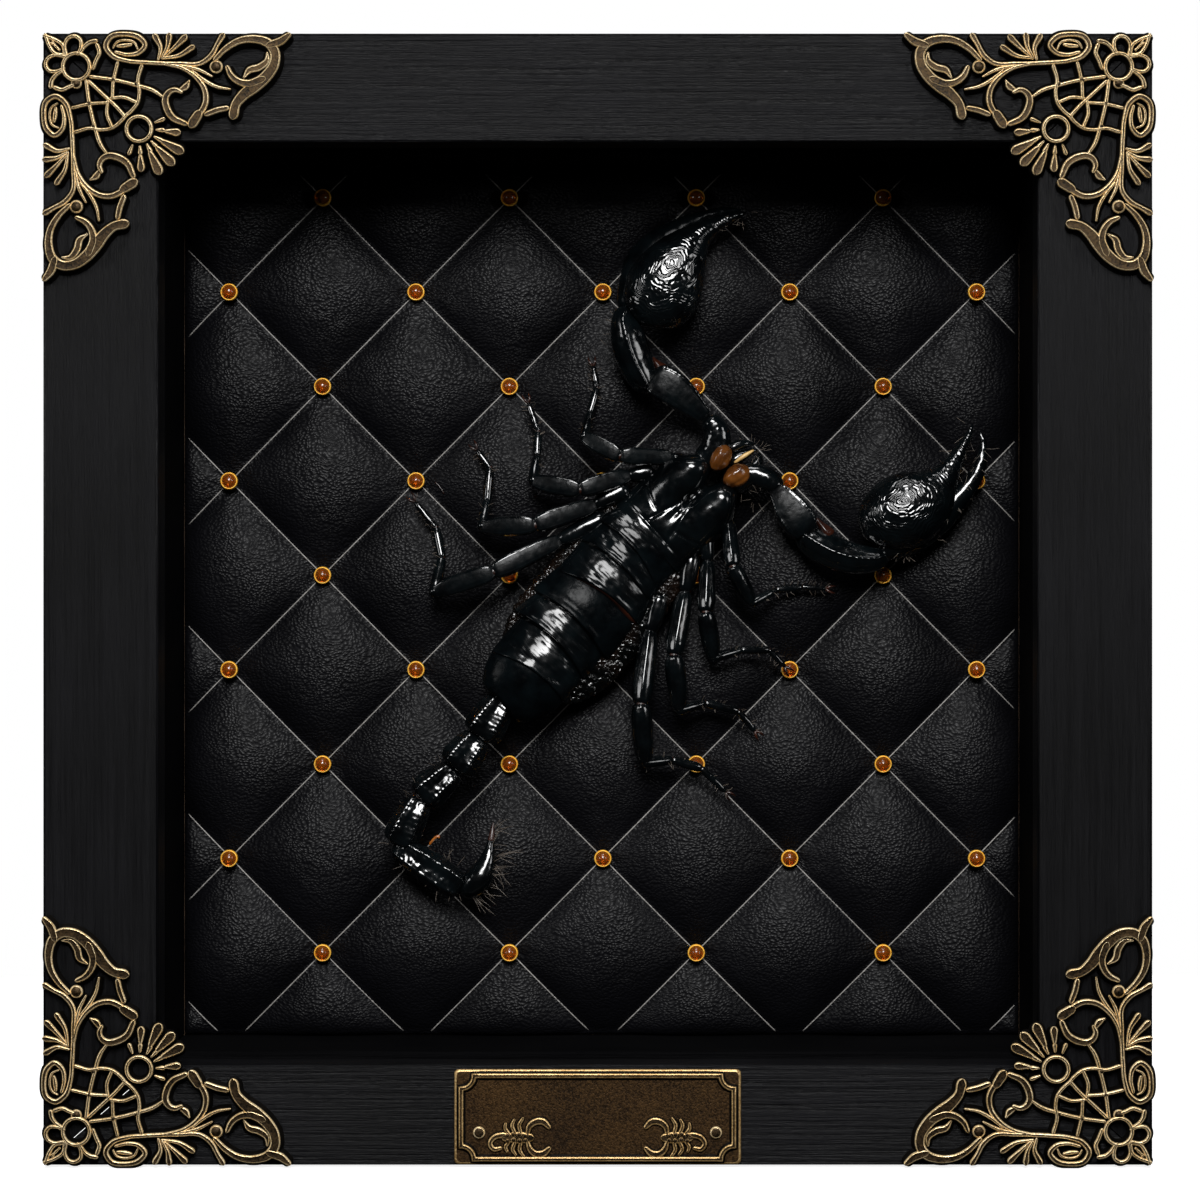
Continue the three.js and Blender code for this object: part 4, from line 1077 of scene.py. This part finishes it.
# Arms: each part is a list of (x, y, lift, half width, half height), from the body outwards
UPPER_ARM = [
    [(700, 464, 4.6, 12, 2.4), (716, 446, 4.8, 15, 2.7), (716, 430, 5.0, 13, 2.5), (706, 418, 5.1, 10, 2.2)],
    [(708, 420, 5.0, 6, 1.7), (697, 409, 5.3, 11, 2.4), (682, 396, 5.5, 16, 2.9), (667, 385, 5.5, 18, 3.1),
     (655, 379, 5.3, 15, 2.7), (650, 376, 5.1, 9, 2.0)],
    [(652, 392, 5.0, 10, 2.1), (645, 380, 5.2, 15, 2.6), (634, 358, 5.4, 18, 3.0), (627, 334, 5.5, 17, 3.0),
     (624, 317, 5.4, 12, 2.5), (627, 306, 5.3, 8, 1.9)],
]
# Each hand is a ringed dome that runs out into the fixed finger, and a lower flank that ends in the
# moving finger.
UPPER_HAND = [
    [(640, 324, 4.8, 10, 2.4), (648, 312, 5.3, 29, 4.3), (659, 297, 5.5, 38, 5.2), (671, 274, 5.5, 36, 5.2),
     (685, 252, 5.3, 26, 4.3), (699, 236, 5.1, 15, 3.0), (716, 225, 4.8, 8.5, 2.0), (732, 217, 4.4, 5, 1.3),
     (746, 212.5, 4.0, 0.8, 0.2)],
    [(625, 313, 3.8, 8, 2.0), (631, 291, 3.6, 13, 2.8), (645, 266, 3.4, 21, 3.2), (662, 246, 3.3, 18, 2.9),
     (682, 229.5, 3.3, 12, 2.4), (704, 218, 3.3, 7.5, 1.7), (724, 212, 3.3, 4.5, 1.1),
     (743, 209.5, 3.3, 0.8, 0.2)],
]
RIGHT_ARM = [
    [(730, 486, 4.6, 12, 2.4), (750, 475, 4.8, 13, 2.5), (768, 480, 5.0, 12, 2.4), (780, 491, 5.1, 9, 2.1)],
    [(773, 486, 5.0, 7, 1.8), (781, 496, 5.3, 12, 2.5), (791, 510, 5.5, 17, 2.9), (801, 524, 5.5, 17, 2.9),
     (808, 536, 5.2, 10, 2.2)],
    [(797, 530, 5.0, 9, 2.0), (812, 541, 5.2, 15, 2.6), (834, 553, 5.4, 17, 3.0), (858, 559, 5.5, 15, 2.8),
     (876, 559, 5.4, 12, 2.4), (889, 556, 5.3, 8, 1.9)],
]
RIGHT_HAND = [
    [(864, 537, 4.8, 9, 2.2), (874, 529, 5.2, 25, 3.8), (891, 518, 5.5, 36, 5.0), (912, 507, 5.5, 38, 5.2),
     (930, 494, 5.4, 30, 4.4), (943, 479.5, 5.2, 17, 3.0), (954, 462, 4.9, 9.5, 2.1), (963, 446, 4.5, 6, 1.5),
     (969, 434, 4.2, 3.5, 0.9), (972.5, 424, 4.0, 0.8, 0.2)],
    [(878, 556, 4.0, 7, 2.0), (893, 547, 3.9, 13, 2.7), (915, 535, 3.7, 16, 3.0), (937, 518, 3.6, 16, 3.0),
     (954, 501, 3.5, 13, 2.6), (968, 486, 3.5, 9.5, 2.1), (978, 470, 3.4, 7, 1.6), (982.5, 453, 3.3, 5, 1.2),
     (983, 441, 3.2, 3, 0.8), (979, 431, 3.2, 0.8, 0.2)],
]
# Brown skin beside a joint of each arm
UPPER_SKIN = [(652, 357, 5, 1, 0.6), (657, 364, 5.2, 4, 1.2), (663, 371, 5.2, 7, 1.5),
              (666, 374, 5.0, 7, 1.3)]
RIGHT_SKIN = [(816, 518, 5.2, 1, 0.6), (821, 525, 5.4, 4, 1.2), (827, 533, 5.4, 7, 1.5),
              (830, 537, 5.2, 7, 1.3)]
# Keels: degrees round the section, height and spread
RIDGED_KEELS = [(84, 0.14, 6), (150, 0.08, 7), (25, 0.08, 7)]
FLAT_KEELS = [(44, 0.12, 8), (136, 0.12, 8), (90, -0.05, 30)]
HAND_KEELS = [(165, 0.05, 7), (15, 0.05, 7)]
LEG_KEELS = [(96, 0.1, 6), (180, 0.06, 8)]


def make_arm(form, parts, hand, dome_mark, flank_mark, skin):
    for i, rows in enumerate(parts):
        # The second part of each arm is flat on top between toothed edges, the third ridged like a roof.
        top, square, keels = ((None, 2.2, None), (FLAT, 3.2, (FLAT_KEELS, 19)),
                              (None, 1.6, (RIDGED_KEELS, 17)))[i]
        loft(form, rows, BLACK, rings=80, sides=64, blunt=(0.12, 0.1), square=square, grain=0.04,
             keels=keels, top=top)
    loft(form, skin, BROWN, rings=24, sides=24, blunt=(0.1, 0.1), square=1.5, grain=0.1)
    dome, flank = hand
    loft(form, dome, dome_mark, rings=130, sides=100, blunt=(0.06, 0.02), square=2.1, grain=0.025)
    loft(form, flank, flank_mark, rings=110, sides=56, blunt=(0.06, 0.02), square=2.2, grain=0.07,
         keels=(HAND_KEELS, 30))


# Legs from the body outwards: ends of trochanter, femur, patella, tibia, basitarsus and tarsus
LEG_LIFTS = [4, 4.6, 7.2, 5.4, 3, 1.8, 1.1]
LEFT_LEGS = [
    [(690, 466), (670, 457), (620, 456), (584, 437), (590, 413), (597, 388), (593, 365)],
    [(652, 472), (628, 475), (580, 490), (533, 481), (537, 456), (538, 432), (528, 402)],
    [(626, 489), (594, 505), (535, 525), (482, 527), (487, 502), (490, 468), (476, 449)],
    [(604, 518), (558, 541), (493, 572), (434, 592), (442, 558), (436, 528), (414, 501)],
]
RIGHT_LEGS = [
    [(716, 500), (728, 520), (733, 566), (752, 603), (776, 590), (802, 587), (827, 589)],
    [(704, 528), (708, 562), (706, 612), (714, 658), (741, 650), (769, 650), (786, 668)],
    [(692, 556), (685, 593), (674, 655), (680, 710), (705, 703), (738, 711), (756, 732)],
    [(660, 596), (650, 632), (641, 704), (645, 763), (672, 760), (701, 768), (727, 793)],
]


def make_leg(form, joints, scale, flat):
    """One leg; its two long parts are flat on top between two sharp edges, or roofed with a toothed ridge."""
    top, square, keels = (FLAT, 2.8, (FLAT_KEELS, 20)) if flat else (None, 1.7, (LEG_KEELS, 16))

    def row(i, share, half, tall):
        j = min(i + 1, 6)
        lift = LEG_LIFTS[i] + (LEG_LIFTS[j] - LEG_LIFTS[i]) * share
        return (*between(joints[i], joints[j], share), lift, half * scale, tall * scale)

    def part(rows, **shape):
        loft(form, [row(*numbers) for numbers in rows], BLACK, **shape)

    broad = {"rings": 44, "sides": 40, "blunt": (0.1, 0.08), "square": square, "grain": 0.03,
             "keels": keels, "top": top}
    part([(0, -0.1, 9, 1.8), (0, 0.5, 9.5, 1.8), (0, 1.05, 6.5, 1.4)],
         rings=24, sides=24, blunt=(0.2, 0.2), grain=0.04)
    part([(1, -0.08, 5, 1.1), (1, 0.1, 8.5, 1.5), (1, 0.45, 10, 1.7), (1, 0.85, 10, 1.6),
          (1, 1.03, 7.5, 1.2)], **broad)
    part([(2, -0.06, 6, 1.1), (2, 0.12, 9.5, 1.5), (2, 0.4, 10.5, 1.65), (2, 0.8, 9, 1.4),
          (2, 1.04, 5.5, 1.0)], **broad)
    part([(3, -0.14, 5.4, 1.1), (3, 0.3, 5.8, 1.2), (3, 0.8, 5.2, 1.0), (3, 1.04, 4.2, 0.8)],
         rings=30, sides=18, blunt=(0.12, 0.1), square=2.0, grain=0.03)
    part([(4, -0.06, 4.0, 0.75), (4, 0.4, 4.8, 0.9), (4, 0.9, 4.5, 0.8), (4, 1.05, 3.5, 0.6)],
         rings=28, sides=16, blunt=(0.12, 0.1), square=2.0, grain=0.03)
    part([(5, -0.05, 3.1, 0.55), (5, 0.4, 4.0, 0.7), (5, 0.75, 3.5, 0.6), (6, -0.1, 2.4, 0.45)],
         rings=28, sides=14, blunt=(0.1, 0.2), square=2.0, grain=0.05)
    for i, half in ((1, 5), (2, 5), (3, 4), (4, 3.2), (5, 2.8)):
        joint = [row(i, -0.07, half, half * 0.2), row(i, 0.07, half, half * 0.2)]
        loft(form, joint, BROWN, rings=8, sides=14, blunt=(0.3, 0.3))
    # Two small hooked claws on the foot
    (ax, ay), (bx, by) = joints[5], joints[6]
    long = math.hypot(bx - ax, by - ay)
    wx, wy = (bx - ax) / long, (by - ay) / long
    for side in (-1, 1):
        hook = [(bx + wx * out - wy * aside * side, by + wy * out + wx * aside * side, lift, half,
                 half * 0.25)
                for out, aside, lift, half in ((-1.5, 0, 1.1, 1.5), (4, 3, 1.2, 1.2), (9, 3.5, 0.6, 0.2))]
        loft(form, hook, BROWN, rings=12, sides=8, blunt=(0.1, 0.05))


# Where bristles stand: from and to a pixel, how many, how far out, how long, and which way they lean
BRISTLES = [
    ((400, 848), (462, 889), 14, 15, 12, (-0.4, 0.8)), ((430, 868), (470, 880), 10, 14, 12, (0.2, -1.2)),
    ((466, 892), (490, 852), 34, 12, 24, (1.5, 0.5)), ((490, 850), (493, 828), 12, 3, 16, (1.6, -0.8)),
    ((400, 840), (420, 800), 10, 16, 9, (0, 0)), ((420, 799), (478, 737), 12, 17, 8, (0, 0)),
    ((936, 492), (973, 426), 22, 10, 11, (0, 0)), ((945, 510), (983, 440), 26, 10, 12, (0.8, 0.4)),
    ((900, 550), (945, 528), 10, 12, 9, (0.4, 0.8)), ((700, 236), (746, 213), 16, 8, 9, (0, 0)),
    ((745, 447), (758, 452), 14, 9, 8, (0.5, 0)), ((752, 470), (766, 478), 12, 10, 9, (0, 0)),
    ((610, 350), (618, 320), 8, 6, 8, (-0.8, 0)), ((740, 485), (760, 500), 10, 10, 9, (0, 0.5)),
]


def make_bristles():
    """Stiff hairs on tail, sting, fingers, jaws and feet: tapering mesh spikes 0.07 mm thick."""
    rng = np.random.default_rng(7)
    form = Form()
    fields = []
    for a, b, count, spread, long, lean in BRISTLES:
        for _ in range(count):
            x, y = between(a, b, rng.random())
            way = rng.normal(size=2)
            way = way / np.linalg.norm(way) + lean
            way /= np.linalg.norm(way)
            start = np.array([x, y]) + way * spread * rng.uniform(0.5, 0.9)
            fields.append((start, way, long * rng.uniform(0.6, 1.3), rng.uniform(3.4, 6.0)))
    for legs in (LEFT_LEGS, RIGHT_LEGS):
        for joints in legs:
            for i, count in ((3, 5), (4, 6), (5, 9)):
                for _ in range(count):
                    x, y = between(joints[i], joints[i + 1], rng.random())
                    along = np.array(joints[i + 1], float) - joints[i]
                    along /= np.linalg.norm(along)
                    aside = np.array([-along[1], along[0]]) * rng.choice([-1, 1])
                    way = aside + along * rng.uniform(0.1, 0.8)
                    way /= np.linalg.norm(way)
                    lift = LEG_LIFTS[i] + (LEG_LIFTS[i + 1] - LEG_LIFTS[i]) * 0.5
                    fields.append((np.array([x, y]) + way, way, rng.uniform(5, 9), lift))
    for start, way, long, lift in fields:
        bend = rng.normal(scale=0.18)
        rows = []
        for k in range(5):
            s = k / 4
            at = start + way * long * s + np.array([-way[1], way[0]]) * long * bend * s * s
            rows.append((at[0], at[1], lift + 0.8 * s, max(0.2 * (1 - s), 0.05), max(0.037 * (1 - s), 0.01)))
        loft(form, rows, BLACK, rings=5, sides=4, blunt=(1e-6, 1e-6))
    turn_out(form.piece("scorpion_bristles", [bristle]))


def loose_bit(form, spots, half, mark):
    """A fleck that lies on the leather, along spots of the picture."""
    rows = []
    for px, py in spots:
        x, _, z = at_depth(px, py, SEAM_DEPTH)
        lift = SPECIMEN_DEPTH - float(pad_depth(np.array([x]), np.array([z]))[0]) + 0.15
        rows.append((px, py, lift, half, 0.2))
    loft(form, rows, mark, rings=14, sides=10)


def make_scorpion():
    shells = [shell_black, shell_dull, shell_flat, shell_back, shell_upper_hand, shell_right_hand,
              shell_brown, shell_skin, shell_jaw, shell_horn, shell_fleck]
    body = Form()
    make_body(body)
    make_jaws(body)
    make_tail(body)
    loose_bit(body, [(435, 482), (439, 486), (442, 490), (444, 494)], 0.9, BROWN)
    loose_bit(body, [(429, 845), (432, 841), (435.5, 837.5), (438.5, 836), (439, 838.5)], 1.3, FLECK)
    turn_out(body.piece("scorpion_body", shells, ["scorpion"]))
    arms = Form()
    make_arm(arms, UPPER_ARM, UPPER_HAND, UPPER_DOME, DULL, UPPER_SKIN)
    make_arm(arms, RIGHT_ARM, RIGHT_HAND, RIGHT_DOME, BLACK, RIGHT_SKIN)
    turn_out(arms.piece("scorpion_arms", shells, ["scorpion"]))
    legs = Form()
    for joints, scale in zip(LEFT_LEGS, (0.86, 0.93, 0.98, 1.0)):
        make_leg(legs, joints, scale, True)
    for joints, scale in zip(RIGHT_LEGS, (0.8, 0.88, 0.96, 1.0)):
        make_leg(legs, joints, scale, False)
    turn_out(legs.piece("scorpion_legs", shells, ["scorpion"]))
    make_bristles()


# Room, light and camera

FLOOR_RADIUS, FLOOR_HEIGHT, FLOOR_SIDES = 0.4, -0.0005, 64


def make_room():
    floor = bpy.data.meshes.new("floor")
    turn = np.linspace(0, 2 * np.pi, FLOOR_SIDES, endpoint=False)
    rim = [(FLOOR_RADIUS * math.cos(t), FLOOR_RADIUS * math.sin(t), FLOOR_HEIGHT) for t in turn]
    floor.from_pydata(rim, [], [list(range(FLOOR_SIDES))])
    thing = bpy.data.objects.new("floor", floor)
    bpy.context.scene.collection.objects.link(thing)
    material, tree = blank("pale floor")
    floor.materials.append(coated(material, tree, {
        "Base Color": linear("#f4f4f4"), "Roughness": 0.8, "Emission Color": (1, 1, 1, 1),
        "Emission Strength": 0.85}))
    # The picture is a cut-out on white, so the floor shows white but throws no light up into the box.
    thing.visible_diffuse = thing.visible_glossy = thing.visible_transmission = False
    world = bpy.data.worlds.new("studio")
    bpy.context.scene.world = world
    world.use_nodes = True
    tree = world.node_tree
    tree.nodes.clear()
    seen = add(tree, "ShaderNodeLightPath").outputs["Is Camera Ray"]
    power = remap(tree, seen, 0.0, 1.0, 0.008, 1.0)
    sky = add(tree, "ShaderNodeBackground", {"Color": (1, 1, 1, 1), "Strength": power})
    add(tree, "ShaderNodeOutputWorld", {"Surface": sky.outputs[0]})


def make_light(name, place, target, size, power):
    lamp = bpy.data.lights.new(name, "AREA")
    lamp.shape = "DISK"
    lamp.size = size
    lamp.energy = power
    thing = bpy.data.objects.new(name, lamp)
    thing.location = place
    thing.rotation_euler = (Vector(target) - Vector(place)).to_track_quat("-Z", "Y").to_euler()
    bpy.context.scene.collection.objects.link(thing)


def make_camera():
    camera = bpy.data.cameras.new("camera")
    width = PICTURE * PIXEL
    camera.sensor_width = 36.0
    camera.lens = 36.0 * EYE_DISTANCE / width
    camera.shift_x = (PICTURE / 2 - EYE_PIXEL[0]) / PICTURE
    thing = bpy.data.objects.new("camera", camera)
    eye = at_depth(*EYE_PIXEL, 0.0)
    thing.location = (eye[0] * MM, (FACE_Y - EYE_DISTANCE) * MM, eye[2] * MM)
    thing.rotation_euler = (math.pi / 2, 0, 0)
    bpy.context.scene.collection.objects.link(thing)
    bpy.context.scene.camera = thing


make_frame()
make_pad()
make_seam_thread()
make_studs()
make_corners()
make_plate()
make_scorpion()
make_room()
make_light("key", (0.02, -1.1, 0.66), (0, 0, 0.1), 0.5, 15.0)
make_light("top", (0.0, -0.42, 1.15), (0, -0.02, 0.1), 0.5, 5.0)
make_light("left", (-1.0, -0.7, 0.35), (0, 0, 0.1), 0.4, 2.0)
make_light("right", (1.0, -0.7, 0.35), (0, 0, 0.1), 0.4, 2.0)
make_camera()
bpy.context.scene.view_settings.view_transform = "Standard"
